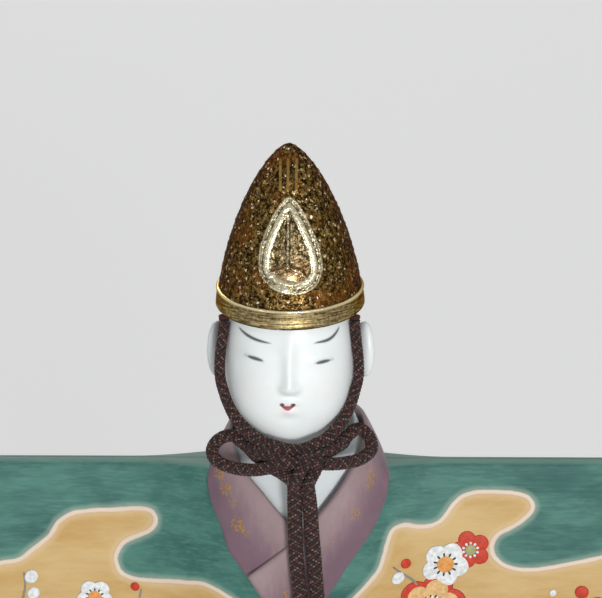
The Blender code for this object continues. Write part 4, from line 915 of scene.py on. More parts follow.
def joined(name, parts):
    """Several meshes as one mesh object of several shells."""
    bm = bmesh.new()
    for part in parts:
        bm.from_mesh(part.data)
        bpy.data.objects.remove(part, do_unlink=True)
    mesh = bpy.data.meshes.new(name)
    bm.to_mesh(mesh)
    bm.free()
    made = bpy.data.objects.new(name, mesh)
    bpy.context.scene.collection.objects.link(made)
    return made


def face_relief(x, z):
    """How far the face stands out at a place in millimetres, as a sum of soft lumps."""
    out = np.zeros_like(x)
    for _, across, up, half_width, half_height, proud in FACE_LUMPS:
        out += proud * np.exp(-((x - across) / half_width) ** 2 - ((z - up) / half_height) ** 2)
    under = 1 - smooth_share((NOSE_UNDER - z) / 0.9) * np.exp(-(x / 2.6) ** 2) * (z > -16.2)
    nose = np.exp(-((x - 0.3) / 2.2) ** 4) * ((z > -16.0) & (z < -2.0))
    return out * (1 - nose * (1 - under))


def make_head():
    """The whole head in one skin: egg, ears and neck, then the features of the face."""
    egg_points, egg_faces = egg()
    neck_steps = 48
    neck_low, neck_high = SHOULDER_Z + 0.3 * MM, RIM_Z - HEAD_MIDDLE_DROP
    neck = mesh_object("neck", turned_rings(((NECK_RADIUS / MM, 0),
                                             (NECK_RADIUS / MM, (neck_high - neck_low) / MM)),
                                            (0, 0, neck_low), neck_steps), capped(2, neck_steps))
    set_points(neck, to_head(mesh_points(neck)))
    parts = [mesh_object("egg", egg_points, egg_faces), neck, scooped_ear(1), scooped_ear(-1)]
    whole = joined("head_skin", parts)
    grid = whole.modifiers.new("one skin", "REMESH")
    grid.mode = "VOXEL"
    grid.voxel_size = HEAD_VOXEL
    whole = plain_copy(whole, "head_skin")
    bm = bmesh.new()
    bm.from_mesh(whole.data)
    for _ in range(SKIN_SMOOTHING):
        bmesh.ops.smooth_vert(bm, verts=bm.verts, factor=0.5,
                              use_axis_x=True, use_axis_y=True, use_axis_z=True)
    bm.to_mesh(whole.data)
    bm.free()
    points = mesh_points(whole)
    x, y, z = points.T / MM
    facing = smooth_share((-y - 4) / 5)
    points[:, 1] -= face_relief(x, z) * facing * MM
    ears = np.zeros(len(points))
    for side in (1, -1):
        turn = np.array(Matrix.Rotation(side * EAR_SPLAY, 3, "Z"))
        place = np.array((side * EAR_PLACE.x, EAR_PLACE.y, EAR_PLACE.z))
        apart = (points - place) @ turn / np.array(EAR_HALVES)
        reach = np.linalg.norm(apart, axis=1)
        ears = np.maximum(ears, 1 - smooth_share((reach - 1.02) / 0.25))
    number_attribute(whole, "ear", ears)
    set_points(whole, to_doll(points))
    whole.data.shade_smooth()
    return whole


head_skin = make_head()

# %% [markdown]
# ## Painting the face
# The face is painted with a fine brush on the white coating. Each stroke follows a curve, so the
# shader takes the distance from a polynomial through a few points of the stroke, and its width
# swells and fades along the way. The mouth is a small red smile with dark corners.

# %% Finish of the head
BROWS = (
    ((-10.9, -1.96), (-9.95, -2.3), (-8.8, -2.84), (-7.2, -3.36), (-5.4, -3.5), (-4.1, -3.6), (-3.0, -3.78)),
    ((11.0, -1.7), (10.6, -2.3), (10.1, -2.85), (9.2, -3.4), (8.0, -3.66), (6.5, -3.8), (5.0, -3.95)),
)
EYES = (
    ((-9.9, -7.2), (-8.3, -7.24), (-7.2, -7.35), (-6.1, -7.55), (-5.0, -7.85)),
    ((5.4, -8.15), (6.6, -8.08), (7.5, -8.0), (8.5, -8.0), (9.9, -8.15)),
)

PUPILS = (
    ((-8.9, -7.15), (-7.15, -7.25), (-5.4, -7.5)),
    ((5.9, -8.12), (7.45, -8.0), (9.0, -8.02)),
)
MOUTH_X = -0.2
MOUTH_Z = -17.2
MOUTH_HALF_WIDTH = 1.7


def along_curve(x, points, degree):
    """Shader wires for a polynomial through the points, and for its slope."""
    across, up = zip(*points)
    factors = np.polyfit(across, up, degree)
    value, slope = float(factors[0]), float(factors[0] * degree)
    for power, factor in enumerate(factors[1:], 1):
        value = x * value + float(factor)
        if power < degree:
            slope = x * slope + float(factor * (degree - power))
    return value, slope


def stroke(x, z, points, degree, half_width, soft, lean=1.0):
    """How much paint a brush stroke leaves at a place: 1 in its middle, 0 away from it.

    A lean of 1 is widest half way; a larger one is widest nearer to the first point.
    """
    curve, slope = along_curve(x, points, degree)
    away = (z - curve).absolute() / (slope * slope + 1.0) ** 0.5
    share = (x - points[0][0]) / (points[-1][0] - points[0][0])
    most = 1 / (1 + lean)
    widest = most * (1 - most) ** lean
    swell = (share.most(0.0) * (1.0 - share).most(0.0) ** lean / widest) ** 0.6
    return (swell * half_width - away).fade(-soft, soft) * swell.fade(0.0, 0.5)


def shell_white():
    """Satin shell white with the painted face, and black hair behind the ears."""
    skin = Finish("shell white lacquer", roughness=0.42, Specular_IOR_Level=0.45, Coat_Roughness=0.25,
                  Subsurface_Weight=0.04, Subsurface_Scale=0.6 * MM)
    x, y, z = head_axes(skin)
    mottle = skin.noise(5 * MM, detail=3.0)
    colour = skin.mixed(mottle, srgb(232, 238, 238), srgb(245, 249, 248))
    front = (y * -1.0).fade(4.0, 7.0)
    blush_away = ((x.absolute() - 8.0) ** 2.0 + ((z + 14.0) * 0.9) ** 2.0) ** 0.5
    colour = skin.mixed((1.0 - blush_away.fade(0.0, 6.0)) * front * 0.10, colour, srgb(236, 200, 196))
    for points in BROWS:
        soft_brow = stroke(x, z, points, 3, 0.44, 0.40, 1.8) * front
        fine_brow = stroke(x, z, points, 3, 0.30, 0.16, 1.8) * front
        colour = skin.mixed(soft_brow * 0.45, colour, srgb(120, 128, 136))
        colour = skin.mixed(fine_brow * 0.9, colour, srgb(46, 52, 60))
    for lid_line, pupil_line in zip(EYES, PUPILS):
        lid = stroke(x, z - 0.2, lid_line, 2, 0.45, 0.55) * front
        slit = stroke(x, z, lid_line, 2, 0.18, 0.2) * front
        pupil = stroke(x, z, pupil_line, 2, 0.40, 0.26) * front
        colour = skin.mixed(lid * 0.32, colour, srgb(128, 134, 138))
        colour = skin.mixed(slit * 0.30, colour, srgb(96, 100, 106))
        colour = skin.mixed(pupil * 0.88, colour, srgb(34, 38, 44))
    across = (x - MOUTH_X) / MOUTH_HALF_WIDTH
    smile = (1.0 - across * across).most(0.0)
    top = MOUTH_Z - smile * 0.50
    bottom = MOUTH_Z - 0.1 - smile * 1.35
    sides = 1.0 - across.absolute().fade(0.86, 1.06)
    inside = (top - z).fade(-0.16, 0.14) * (z - bottom).fade(-0.16, 0.14) * sides * front
    halo = (((x - MOUTH_X) / 2.1) ** 2.0 + ((z - MOUTH_Z + 1.25) / 1.2) ** 2.0) ** 0.5
    colour = skin.mixed((1.0 - halo.fade(0.40, 1.1)) * 0.55 * front, colour, srgb(250, 202, 206))
    colour = skin.mixed(inside * 0.95, colour, srgb(146, 28, 46))
    for side in (1, -1):
        corner = (((x - MOUTH_X - side * 1.18) / 0.56) ** 2.0 + ((z - MOUTH_Z + 0.1) / 0.46) ** 2.0) ** 0.5
        colour = skin.mixed((1.0 - corner.fade(0.6, 1.25)) * 0.9 * front, colour, srgb(74, 18, 32))
    parting = skin.noise(0.35 * MM, detail=3.0, stretch=(1.0, 1.0, 0.12))
    line = y + (z + 8.0) * 0.16
    hair = line.fade(-4.4, -4.0) * (z + 19.0 + (parting - 0.5) * 3.0 - y * 0.18).fade(-0.4, 0.4)
    hair = hair * (1.0 - skin.attribute("ear"))
    colour = skin.mixed(hair, colour, skin.mixed(parting, srgb(10, 10, 12), srgb(34, 33, 36)))
    skin.put("Base Color", colour)
    skin.put("Coat Weight", 0.25 + hair * 0.3)
    skin.put("Roughness", 0.40 + (mottle - 0.5) * 0.12 - hair * 0.05)
    brush = skin.noise(0.8 * MM, detail=3.0) * 0.35 + parting * hair
    skin.bump(brush, 0.05 * MM, 0.5)
    return skin.material


finish_piece(head_skin, shell_white(), "white_skin", "head", "head")

# %% [markdown]
# ## The gilt hat
# The hat is a tall pressed shell, gilded over a hammered ground. Its front carries a raised drop
# with a ridge that forks over a small dome, and a ribbed seam runs up to the tip. All of it is
# relief on one surface, so one fine grid is made and every point is pushed out by a sum of ridges.

# %% Shape of the hat
HAT_HEIGHT = 36.3 * MM
HAT_HALF_WIDTH = 16.0 * MM
HAT_HALF_DEPTH = 17.6 * MM
HAT_WALL = 1.2 * MM
HAT_FOOT_POWER = 1.5
HAT_TIP_POWER = 0.66
HAT_LEVELS = 230
HAT_STEPS = 300
DROP_OUTLINE = ((0.4, 26.9), (-1.1, 26.0), (-2.5, 24.1), (-3.8, 21.7), (-4.9, 19.1), (-5.7, 16.5),
                (-6.0, 14.1), (-5.7, 11.7), (-4.1, 9.8), (-1.6, 8.4), (0.9, 7.8), (3.4, 8.05), (5.6, 9.0),
                (6.7, 10.8), (7.1, 13.2), (6.7, 15.5), (5.96, 17.9), (4.95, 20.3), (3.7, 22.9), (2.0, 25.6))
STEM = ((0.05, 23.5), (0.0, 18.2), (-0.03, 13.3))
FORK_LEFT = ((-0.03, 13.3), (2.7, 12.4), (3.8, 10.8))
FORK_RIGHT = ((-0.03, 13.3), (-2.6, 12.4), (-4.0, 11.0))
DOME = (0.15, 11.0, 3.3, 1.9, 0.7)
LIP = (-1.3, 8.75, 2.6, 0.85, 0.6)
LIP_SLOPE = -0.2
SEAMS = ((-1.6, 0.45), (-0.05, 0.62), (1.66, 0.50))
SEAM_LOW, SEAM_HIGH = 27.6, 34.6
PUNCH_SPACING = 1.35 * MM
PUNCH_REACH = 0.42


def smooth_closed(points, fine=8):
    """A closed smooth curve through a few points, as an array."""
    corners = np.array(points, float)
    before, after = np.roll(corners, 1, 0), np.roll(corners, -1, 0)
    further = np.roll(corners, -2, 0)
    curve = []
    for step in range(fine):
        t = step / fine
        curve.append(0.5 * (2 * corners + (after - before) * t
                            + (2 * before - 5 * corners + 4 * after - further) * t * t
                            + (3 * corners - before - 3 * after + further) * t ** 3))
    return np.stack(curve, axis=1).reshape(-1, 2)


def away_from(places, line, closed=False):
    """The distance of each place from a line of straight stretches."""
    nearest = np.full(len(places), np.inf)
    ends = np.roll(line, -1, 0) if closed else line[1:]
    for start, end in zip(line, ends):
        run = end - start
        share = np.clip(((places - start) @ run) / (run @ run), 0, 1)
        nearest = np.minimum(nearest, np.linalg.norm(places - start - share[:, None] * run, axis=1))
    return nearest


def inside_of(places, outline):
    """Whether each place lies inside a closed outline."""
    inside = np.zeros(len(places), bool)
    for start, end in zip(outline, np.roll(outline, -1, 0)):
        crosses = (start[1] > places[:, 1]) != (end[1] > places[:, 1])
        rise = end[1] - start[1]
        if rise:
            where = start[0] + (end[0] - start[0]) * (places[:, 1] - start[1]) / rise
            inside ^= crosses & (places[:, 0] < where)
    return inside


def signed_distance(places, outline):
    """Distance from a closed outline: positive inside it, negative outside."""
    away = away_from(places, outline, closed=True)
    return np.where(inside_of(places, outline), away, -away)


def ridge(away, half_width):
    """A rounded ridge, 1 on its line and 0 at its half width."""
    return np.sqrt(np.clip(1 - (away / half_width) ** 2, 0, 1))


def hat_relief(x, y, z):
    """Relief of the hat's front in millimetres, at places given in millimetres, and how pale it is: burnished
    metal with painted highlights.
    """
    places = np.stack([x, z], axis=1)
    depth = signed_distance(places, smooth_closed(DROP_OUTLINE))
    out = 0.32 * ridge(depth, 0.32) - 0.14 * ridge(depth - 0.62, 0.3)
    out += 0.45 * ridge(depth - 1.5, 0.72) * (1 - 0.6 * smooth_share((10.5 - z) / 2.0))
    out += 0.12 * smooth_share(depth / 0.4)
    out -= 0.42 * smooth_share((depth - 2.2) / 0.5)
    stem = away_from(places, np.array(STEM))
    out += np.where(depth > 1.2, 0.62 * ridge(stem, 0.34) - 0.24 * ridge(stem - 0.78, 0.36), 0)
    for fork in (FORK_LEFT, FORK_RIGHT):
        out += 0.60 * ridge(away_from(places, np.array(fork)), 0.42)
    across, up, half_width, half_height, proud = DOME
    out += proud * np.sqrt(np.clip(1 - ((x - across) / half_width) ** 2
                                   - ((z - up) / half_height) ** 2, 0, 1))
    across, up, half_width, half_height, proud = LIP
    lip = ((x - across) / half_width) ** 2 + ((z - up - LIP_SLOPE * (x - across)) / half_height) ** 2
    out += proud * np.sqrt(np.clip(1 - lip, 0, 1))
    seam = smooth_share((z - SEAM_LOW) / 0.8) * smooth_share((SEAM_HIGH - z) / 1.2)
    for place, proud in SEAMS:
        out += proud * seam * ridge(x - place, 0.38)
    # How pale the gold is: the drop's frame is burnished paler and carries a painted highlight, and the stem
    # and the lip under the dome get a painted highlight.
    pale = smooth_share((depth + 0.35) / 0.3) * (1 - 0.72 * smooth_share((depth - 2.1) / 0.6))
    pale = np.maximum(pale, smooth_share((0.5 - stem) / 0.3) * (depth > 1.2))
    pale = np.maximum(pale, np.clip(1.15 - lip, 0, 1) * 1.2)
    front = (y < 0).astype(float)
    return out * front, np.clip(pale, 0, 1) * front


def hat_share(up):
    """The hat's half sizes at a share of its height, as a share of those at the rim."""
    return np.maximum(1 - up ** HAT_FOOT_POWER, 0) ** HAT_TIP_POWER


def hammer_marks(points, size, seed):
    """Soft random lumps from -1 to 1, the same at each run."""
    shift = Vector((seed, seed * 1.7, seed * 0.3))
    return np.array([noise.noise(Vector(point) / size + shift) for point in points])


def punched_crowns(points):
    """Round crowns that the punch leaves standing: 1 in the middle of each and 0 between them."""
    away = np.array([noise.voronoi(Vector(point) / PUNCH_SPACING)[0][0] for point in points])
    return np.clip(1 - (away / PUNCH_REACH) ** 2, 0, 1)


def make_hat_shell():
    """The hat's outer face with all its relief, closed by a plain inner face."""
    up = np.sin(np.linspace(0, math.pi / 2, HAT_LEVELS)) ** 1.1
    up[-1] = 0.9995
    turn = np.linspace(0, math.tau, HAT_STEPS, endpoint=False)
    turn = turn + 0.28 * np.cos(turn)
    share = hat_share(up)[:, None]
    wide = HAT_HALF_WIDTH * share
    deep = HAT_HALF_DEPTH * share
    outer = np.stack([wide * np.cos(turn), deep * np.sin(turn), HAT_HEIGHT * up[:, None] + 0 * turn], axis=-1)
    flat = outer.reshape(-1, 3)
    out = np.stack([flat[:, 0] / HAT_HALF_WIDTH ** 2, flat[:, 1] / HAT_HALF_DEPTH ** 2,
                    np.full(len(flat), 0.35 / HAT_HEIGHT / 2)], axis=1)
    out /= np.linalg.norm(out, axis=1)[:, None]
    relief, pale = hat_relief(*(flat.T / MM))
    plain = smooth_share(1 - np.abs(relief) / 0.3)
    crowns = punched_crowns(flat)
    marks = hammer_marks(flat, 0.9 * MM, 3) * 0.08 + hammer_marks(flat, 0.5 * MM, 11) * 0.06
    marks = (marks + 0.15 * crowns) * (0.3 + 0.7 * plain)
    flat = flat + out * ((relief + marks) * MM)[:, None]
    inner_up = np.linspace(1 - 2.2 * HAT_WALL / HAT_HEIGHT, 0, HAT_LEVELS)[:, None]
    inner_share = hat_share(inner_up)
    inner = np.stack([np.maximum(HAT_HALF_WIDTH * inner_share - HAT_WALL, 1e-5) * np.cos(turn),
                      np.maximum(HAT_HALF_DEPTH * inner_share - HAT_WALL, 1e-5) * np.sin(turn),
                      HAT_HEIGHT * inner_up + 0 * turn], axis=-1).reshape(-1, 3)
    inner_rows = 40
    inner = inner.reshape(HAT_LEVELS, HAT_STEPS, 3)[np.linspace(0, HAT_LEVELS - 1, inner_rows).astype(int)]
    points = np.concatenate([inner.reshape(-1, 3), flat])
    faces = capped(inner_rows + HAT_LEVELS, HAT_STEPS)
    made = mesh_object("gilt_hat", to_doll(points), faces)
    for name, values in (("relief", relief), ("pale", pale), ("punch", crowns * (0.4 + 0.6 * plain))):
        number_attribute(made, name, np.concatenate([np.zeros(inner_rows * HAT_STEPS), values]))
    return made


hat = make_hat_shell()

# %% [markdown]
# ## Old gold
# Gilding over a hammered ground is nearly black in its hollows, partly where the lacquer shows
# through and partly as painted shade; its crowns carry a painted highlight. Two noises, of half a
# millimetre and one, and the punched crowns make the marks; they set the colour, the roughness and
# the bump together, and painted glints go on the crowns. The drop on the front is burnished paler,
# with painted highlights on its frame, stem and lip, and ridges are smoother than the ground and
# painted lighter as a highlight.

# %% Finish of the gold
def old_gold():
    gold = Finish("hammered old gold", metallic=1.0, Specular_Tint=srgb(150, 112, 56))
    coarse = gold.noise(0.95 * MM, detail=2.0, roughness=0.6)
    fine = gold.noise(0.42 * MM, detail=2.0, roughness=0.6)
    drift = gold.noise(7 * MM, detail=2.0)
    height = coarse * 0.5 + fine * 0.5
    punch = gold.attribute("punch").fade(0.15, 0.75)
    # Ridges are smoother, and they also get a painted highlight in the colour.
    polish_and_highlight = gold.attribute("relief").fade(0.15, 0.42)
    pale = gold.attribute("pale")
    # Painted highlight on the crowns and punched nubs; the hollows stay dark, partly lacquer that shows
    # through and partly painted shade.
    crown = height.fade(0.42, 0.64) * 0.65 + punch * height.fade(0.36, 0.58) * 0.6
    crown = crown.least(1.0).most(polish_and_highlight * (height.fade(0.34, 0.56) * 0.45 + 0.42))
    ground = gold.mixed(crown, srgb(30, 21, 8), srgb(170, 136, 76))
    ground = gold.mixed(drift.fade(0.50, 0.68) * 0.4, ground, srgb(130, 76, 25))
    # The pale share: burnished paler metal on the drop's frame, with a painted highlight there and on its
    # stem and lip.
    bright = gold.mixed(crown, srgb(86, 73, 43), srgb(222, 212, 178))
    colour = gold.mixed(pale, ground, bright)
    # Painted glints: near-white spots put into the base colour on the punched crowns and the pale ridges.
    glint = (fine.fade(0.55, 0.61) * punch).most(fine.fade(0.58, 0.64) * pale * crown)
    gold.put("Base Color", gold.mixed(glint, colour, srgb(255, 247, 220)))
    gold.put("Roughness", 0.45 - crown * 0.20 - pale * 0.05)
    gold.put("Metallic", 0.85 + crown * 0.15)
    gold.bump(height * (1.0 - polish_and_highlight * 0.7), 0.4 * MM, 0.9)
    return gold.material


GOLD = old_gold()
finish_piece(hat, GOLD, "gold_leaf", "head", "hat_shell")

# %% [markdown]
# ## The rim band
# A thin strip is soldered round the rim, with a fine bead along its upper edge. It lies close on
# the shell, so its section is carried round the rim on the shell's own curve. The strip is
# burnished, with fine scratches that run round it, and its bead carries a painted highlight.

# %% Rim band
# Each point of the section: how far out from the shell, and how far up from the rim.
BAND_SECTION = ((-0.6, 0.3), (0.0, 0.22), (0.26, 0.26), (0.36, 0.45), (0.36, 1.1), (0.30, 1.18), (0.34, 1.3),
                (0.34, 2.3), (0.28, 2.38), (0.32, 2.5), (0.32, 3.62), (0.36, 3.74),
                 (0.54, 3.84), (0.60, 4.02),
                (0.54, 4.2), (0.34, 4.32), (0.1, 4.4), (-0.6, 4.4))
BEAD_LOW, BEAD_HIGH = 3.7, 4.35
BAND_STEPS = 420


def burnished_gold():
    gold = Finish("burnished gold band", metallic=1.0, Specular_Tint=srgb(170, 140, 90))
    scratches = gold.noise(0.5 * MM, detail=3.0, stretch=(0.12, 0.12, 2.2))
    spots = gold.noise(0.7 * MM, detail=3.0, roughness=0.65)
    bead = gold.attribute("relief")
    tone = (scratches * 0.6 + spots * 0.4).fade(0.38, 0.66)
    colour = gold.mixed(tone, srgb(84, 66, 34), srgb(190, 171, 126))
    # Painted highlight along the bead.
    gold.put("Base Color", gold.mixed(bead * 0.85, colour, srgb(238, 222, 176)))
    gold.put("Roughness", 0.36 - bead * 0.12 + (spots - 0.5) * 0.15)
    gold.bump(scratches * 0.6 + spots * 0.4, 0.18 * MM, 0.6)
    return gold.material


def make_rim_band():
    turn = np.linspace(0, math.tau, BAND_STEPS, endpoint=False)[:, None]
    out, up = np.array(BAND_SECTION).T * MM
    share = hat_share(up / HAT_HEIGHT)
    points = np.stack([(HAT_HALF_WIDTH * share + out) * np.cos(turn),
                       (HAT_HALF_DEPTH * share + out) * np.sin(turn),
                       up + 0 * turn], axis=-1).reshape(-1, 3)
    faces = grid_faces(BAND_STEPS, len(BAND_SECTION), wrap_rows=True)
    made = mesh_object("rim_band_gilt", to_doll(points), faces)
    bead = np.array([1.0 if BEAD_LOW < up < BEAD_HIGH else 0.0 for _, up in BAND_SECTION])
    number_attribute(made, "relief", np.tile(bead, BAND_STEPS))
    return finish_piece(made, burnished_gold(), "gold_leaf", "head", "rim_band")


make_rim_band()

# %% [markdown]
# ## The robe
# The robe is moulded in a front and a back half that meet on a flat plane, with both sleeves held
# straight out. Its face swells over the chest. The form is laid out flat: the outline and a fine
# grid inside it are joined by a Delaunay triangulation, and a height formula lifts every point.

# %% Form of the robe
ROBE_TOP_Z = 169.8 * MM
CHEST_Z = 154 * MM
ROBE_BOTTOM_Z = 94 * MM
ARMPIT_Z = 130 * MM
SLEEVE_BOTTOM_Z = 77 * MM
HAKAMA_TOP_Z = 100 * MM
ROBE_HALF_SPAN = 112 * MM
WAIST_HALF_WIDTH = 34 * MM
ARMPIT_X = 42.5 * MM
SLEEVE_INNER_X = 50 * MM
SLEEVE_HALF_THICKNESS = 2.4 * MM
SHOULDER_SWELL = 7.6 * MM
CHEST_SWELL = 11.8 * MM
SHOULDER_SWELL_HALF_WIDTH = 36 * MM
CHEST_SWELL_HALF_WIDTH = 42 * MM
ROBE_EDGE = 1.8 * MM
ROBE_WALL = 3 * MM
ROBE_TOP_WALL = 3.6 * MM
ROBE_GRID = 0.85 * MM
PARTING = 0.15 * MM
BORDER_STEP = 1.0 * MM
EDGE_TURNS = (0.0, 0.22, 0.45, 0.72, 1.0)
NECK_HOLE_RADIUS = 8.3 * MM
NECK_HOLE_DEPTH = 13 * MM
CAVITY_HALF_WIDTH = 26 * MM
ROBE_CORNERS = (
    (WAIST_HALF_WIDTH, ROBE_BOTTOM_Z, 0), (WAIST_HALF_WIDTH, HAKAMA_TOP_Z + 4 * MM, 0),
    (ARMPIT_X, ARMPIT_Z, 3 * MM), (SLEEVE_INNER_X, SLEEVE_BOTTOM_Z, 6 * MM),
    (ROBE_HALF_SPAN, SLEEVE_BOTTOM_Z, 18 * MM), (ROBE_HALF_SPAN, ROBE_TOP_Z, 3 * MM),
)


def robe_height(x, z):
    """How far the robe's face stands from the plane Y = 0, for arrays in metres."""
    down = smooth_share((ROBE_TOP_Z - z) / (ROBE_TOP_Z - CHEST_Z))
    swell = mix(SHOULDER_SWELL, CHEST_SWELL, down)
    half_width = mix(SHOULDER_SWELL_HALF_WIDTH, CHEST_SWELL_HALF_WIDTH, down)
    low = smooth_share((CHEST_Z - z) / (CHEST_Z - HAKAMA_TOP_Z))
    half_width = mix(half_width, WAIST_HALF_WIDTH, low)
    across = np.minimum(np.abs(x) / half_width, 1.0)
    return SLEEVE_HALF_THICKNESS + swell * np.cos(across * math.pi / 2) ** 2


def rounded_outline(corners, arc_steps=14):
    """A closed outline from corners of (across, up, rounding), with a point at each millimetre."""
    rough = []
    for index, (x, z, rounding) in enumerate(corners):
        corner = Vector((x, z))
        before = Vector(corners[index - 1][:2]) - corner
        after = Vector(corners[(index + 1) % len(corners)][:2]) - corner
        start = corner + before.normalized() * rounding
        end = corner + after.normalized() * rounding
        for step in range(arc_steps + 1 if rounding else 1):
            share = step / arc_steps
            rough.append(start.lerp(corner, share).lerp(corner.lerp(end, share), share))
    outline = []
    for start, end in zip(rough, rough[1:] + rough[:1]):
        pieces = max(round((end - start).length / BORDER_STEP), 1)
        outline.extend(start.lerp(end, step / pieces) for step in range(pieces))
    return np.array(outline)


def moved_inward(outline, distance):
    """The outline moved inward, for distances that are small beside its corners."""
    back = outline - np.roll(outline, 1, 0)
    ahead = np.roll(outline, -1, 0) - outline
    back /= np.linalg.norm(back, axis=1)[:, None]
    ahead /= np.linalg.norm(ahead, axis=1)[:, None]
    inward = np.stack([-back[:, 1] - ahead[:, 1], back[:, 0] + ahead[:, 0]], axis=1)
    inward /= np.linalg.norm(inward, axis=1)[:, None]
    spread = inward[:, 0] * -back[:, 1] + inward[:, 1] * back[:, 0]
    return outline + inward * (distance / np.maximum(spread, 0.5))[:, None]


def moulding(name, corners, height, side, flat, edge, grid):
    """A closed moulding: flat behind, rounded at its edge, and shaped by a height in front."""
    outline = rounded_outline(corners)
    rings = [(outline, np.full(len(outline), flat))]
    for turn in EDGE_TURNS:
        angle = turn * math.pi / 2
        ring = moved_inward(outline, edge * (1 - math.cos(angle))) if turn else outline
        rings.append((ring, height(*ring.T) - edge * (1 - math.sin(angle))))
    border = rings[-1][0]
    low, high = border.min(0), border.max(0)
    counts = np.maximum(((high - low) / grid).round().astype(int), 2)
    across, up = np.meshgrid(*(np.linspace(low[k], high[k], counts[k]) for k in (0, 1)))
    inner = np.stack([across.ravel(), up.ravel()], axis=1)
    inner = inner[signed_distance(inner, border) > grid * 0.45]
    count = len(border)
    flat_points = [Vector(point) for point in np.concatenate([border, inner])]
    found = delaunay_2d_cdt(flat_points, [], [list(range(count))], 1, 1e-7)
    face_points = np.array([tuple(point) for point in found[0]])
    slot = {}
    for number, sources in enumerate(found[3]):
        slot.update((source, number) for source in sources)
    walls = np.concatenate([np.stack([ring[:, 0], side * rise, ring[:, 1]], axis=1)
                            for ring, rise in rings[:-1]])
    front = np.stack([face_points[:, 0], side * height(*face_points.T), face_points[:, 1]], axis=1)
    base = len(walls)
    faces = grid_faces(len(rings) - 1, count)
    last = (len(rings) - 2) * count
    for index in range(count):
        after = (index + 1) % count
        faces.append((last + index, last + after, base + slot[after], base + slot[index]))
    faces.extend(tuple(base + corner for corner in triangle) for triangle in found[2])
    faces.append(tuple(reversed(range(count))))
    return mesh_object(name, np.concatenate([walls, front]), faces)


def robe_corners():
    left = [(-x, z, rounding) for x, z, rounding in reversed(ROBE_CORNERS)]
    return list(ROBE_CORNERS) + left


def robe_half(name, side):
    """One moulding of the robe, with its hollow chest and the hole for the neck bush."""
    half = moulding(name, robe_corners(), robe_height, side, PARTING, ROBE_EDGE, ROBE_GRID)
    low, high, wide = ROBE_BOTTOM_Z - 4 * MM, ROBE_TOP_Z - ROBE_TOP_WALL, CAVITY_HALF_WIDTH
    hollow = moulding("hollow", ((wide, low, 0), (wide, high, 5 * MM),
                                 (-wide, high, 5 * MM), (-wide, low, 0)),
                      lambda x, z: robe_height(x, z) - ROBE_WALL, side, -4 * MM, 0.0, 6 * MM)
    half = cut_from(half, hollow)
    ring = turned_rings(((NECK_HOLE_RADIUS / MM, -NECK_HOLE_DEPTH / MM), (NECK_HOLE_RADIUS / MM, 4.0)),
                        (0.0, 0.0, SHOULDER_Z), 48)
    half = cut_from(half, mesh_object("neck hole", ring, capped(2, 48)))
    half.data.shade_smooth()
    half.data.set_sharp_from_angle(angle=math.radians(50))
    return half


robe = {"front": robe_half("robe_front_painted", -1), "back": robe_half("robe_back_painted", 1)}
print("robe front has", len(robe["front"].data.vertices), "points")

# %% [markdown]
# ## Painted clouds
# Ochre clouds with a pale rosy rim float on the watery green. A cloud is a closed curve through a
# few points. Each point of the robe stores how deep it lies in a cloud, in millimetres: the finish
# turns that one number into ochre, rim, glow and relief.

# %% Clouds
CLOUDS = (
    ((-65.8, 145.4), (-61.7, 146.1), (-58.7, 148.5), (-54.8, 151.7), (-52.1, 155.6), (-48.2, 157.6),
     (-40.1, 158.3), (-32.6, 158.9), (-30.3, 157.5), (-30.4, 155.3), (-32.2, 153.3), (-37.0, 150.8),
     (-39.1, 148.2), (-39.4, 145.3), (-38.1, 142.9), (-34.0, 141.9), (-24.3, 142.6), (-19.3, 143.0),
     (-15.2, 141.6), (-9.0, 138.0), (-3.0, 133.0), (-3.5, 126.0), (-9.0, 121.0), (-17.0, 119.5),
     (-24.0, 116.0), (-28.0, 110.5), (-36.0, 107.5), (-47.0, 107.0), (-56.0, 103.0), (-64.0, 97.5),
     (-76.0, 96.0), (-86.0, 99.0), (-92.0, 104.0), (-101.0, 105.5), (-118.0, 103.0), (-118.0, 140.0),
     (-109.0, 143.5), (-101.0, 148.0), (-92.0, 149.0), (-84.5, 145.0), (-75.0, 143.5)),
    ((19.4, 146.2), (21.2, 151.8), (22.6, 155.6), (25.4, 156.3), (29.5, 155.4), (33.2, 156.2), (36.4, 160.2),
     (39.6, 162.4), (45.1, 162.9), (51.6, 162.2), (54.0, 160.1), (53.6, 157.7), (50.8, 155.0), (46.5, 152.5),
     (45.1, 149.9), (46.0, 146.9), (49.3, 144.8), (54.9, 144.4), (61.2, 145.5), (69.0, 147.3), (78.0, 150.0),
     (86.0, 154.0), (95.0, 154.5), (104.0, 151.0), (118.0, 151.5), (118.0, 110.0), (106.0, 107.0),
     (97.0, 101.0), (85.0, 99.0), (74.0, 102.5), (65.0, 108.5), (53.0, 108.5), (44.0, 103.0), (34.0, 104.5),
     (24.0, 109.5), (16.5, 116.0), (9.0, 120.0), (5.5, 127.5), (9.0, 136.0), (14.5, 141.0)),
)
BACK_DROP = 4.0


def paint_depth(made, mirrored):
    """Store for every point how deep it lies inside the clouds, in millimetres."""
    points = mesh_points(made) / MM
    places = points[:, [0, 2]]
    if mirrored:
        places = places * (-1, 1) + (0, BACK_DROP)
    depth = np.full(len(places), -20.0)
    for cloud in CLOUDS:
        outline = smooth_closed(cloud, 5)
        depth = np.maximum(depth, np.clip(signed_distance(places, outline), -20, 20))
    number_attribute(made, "cloud", depth)


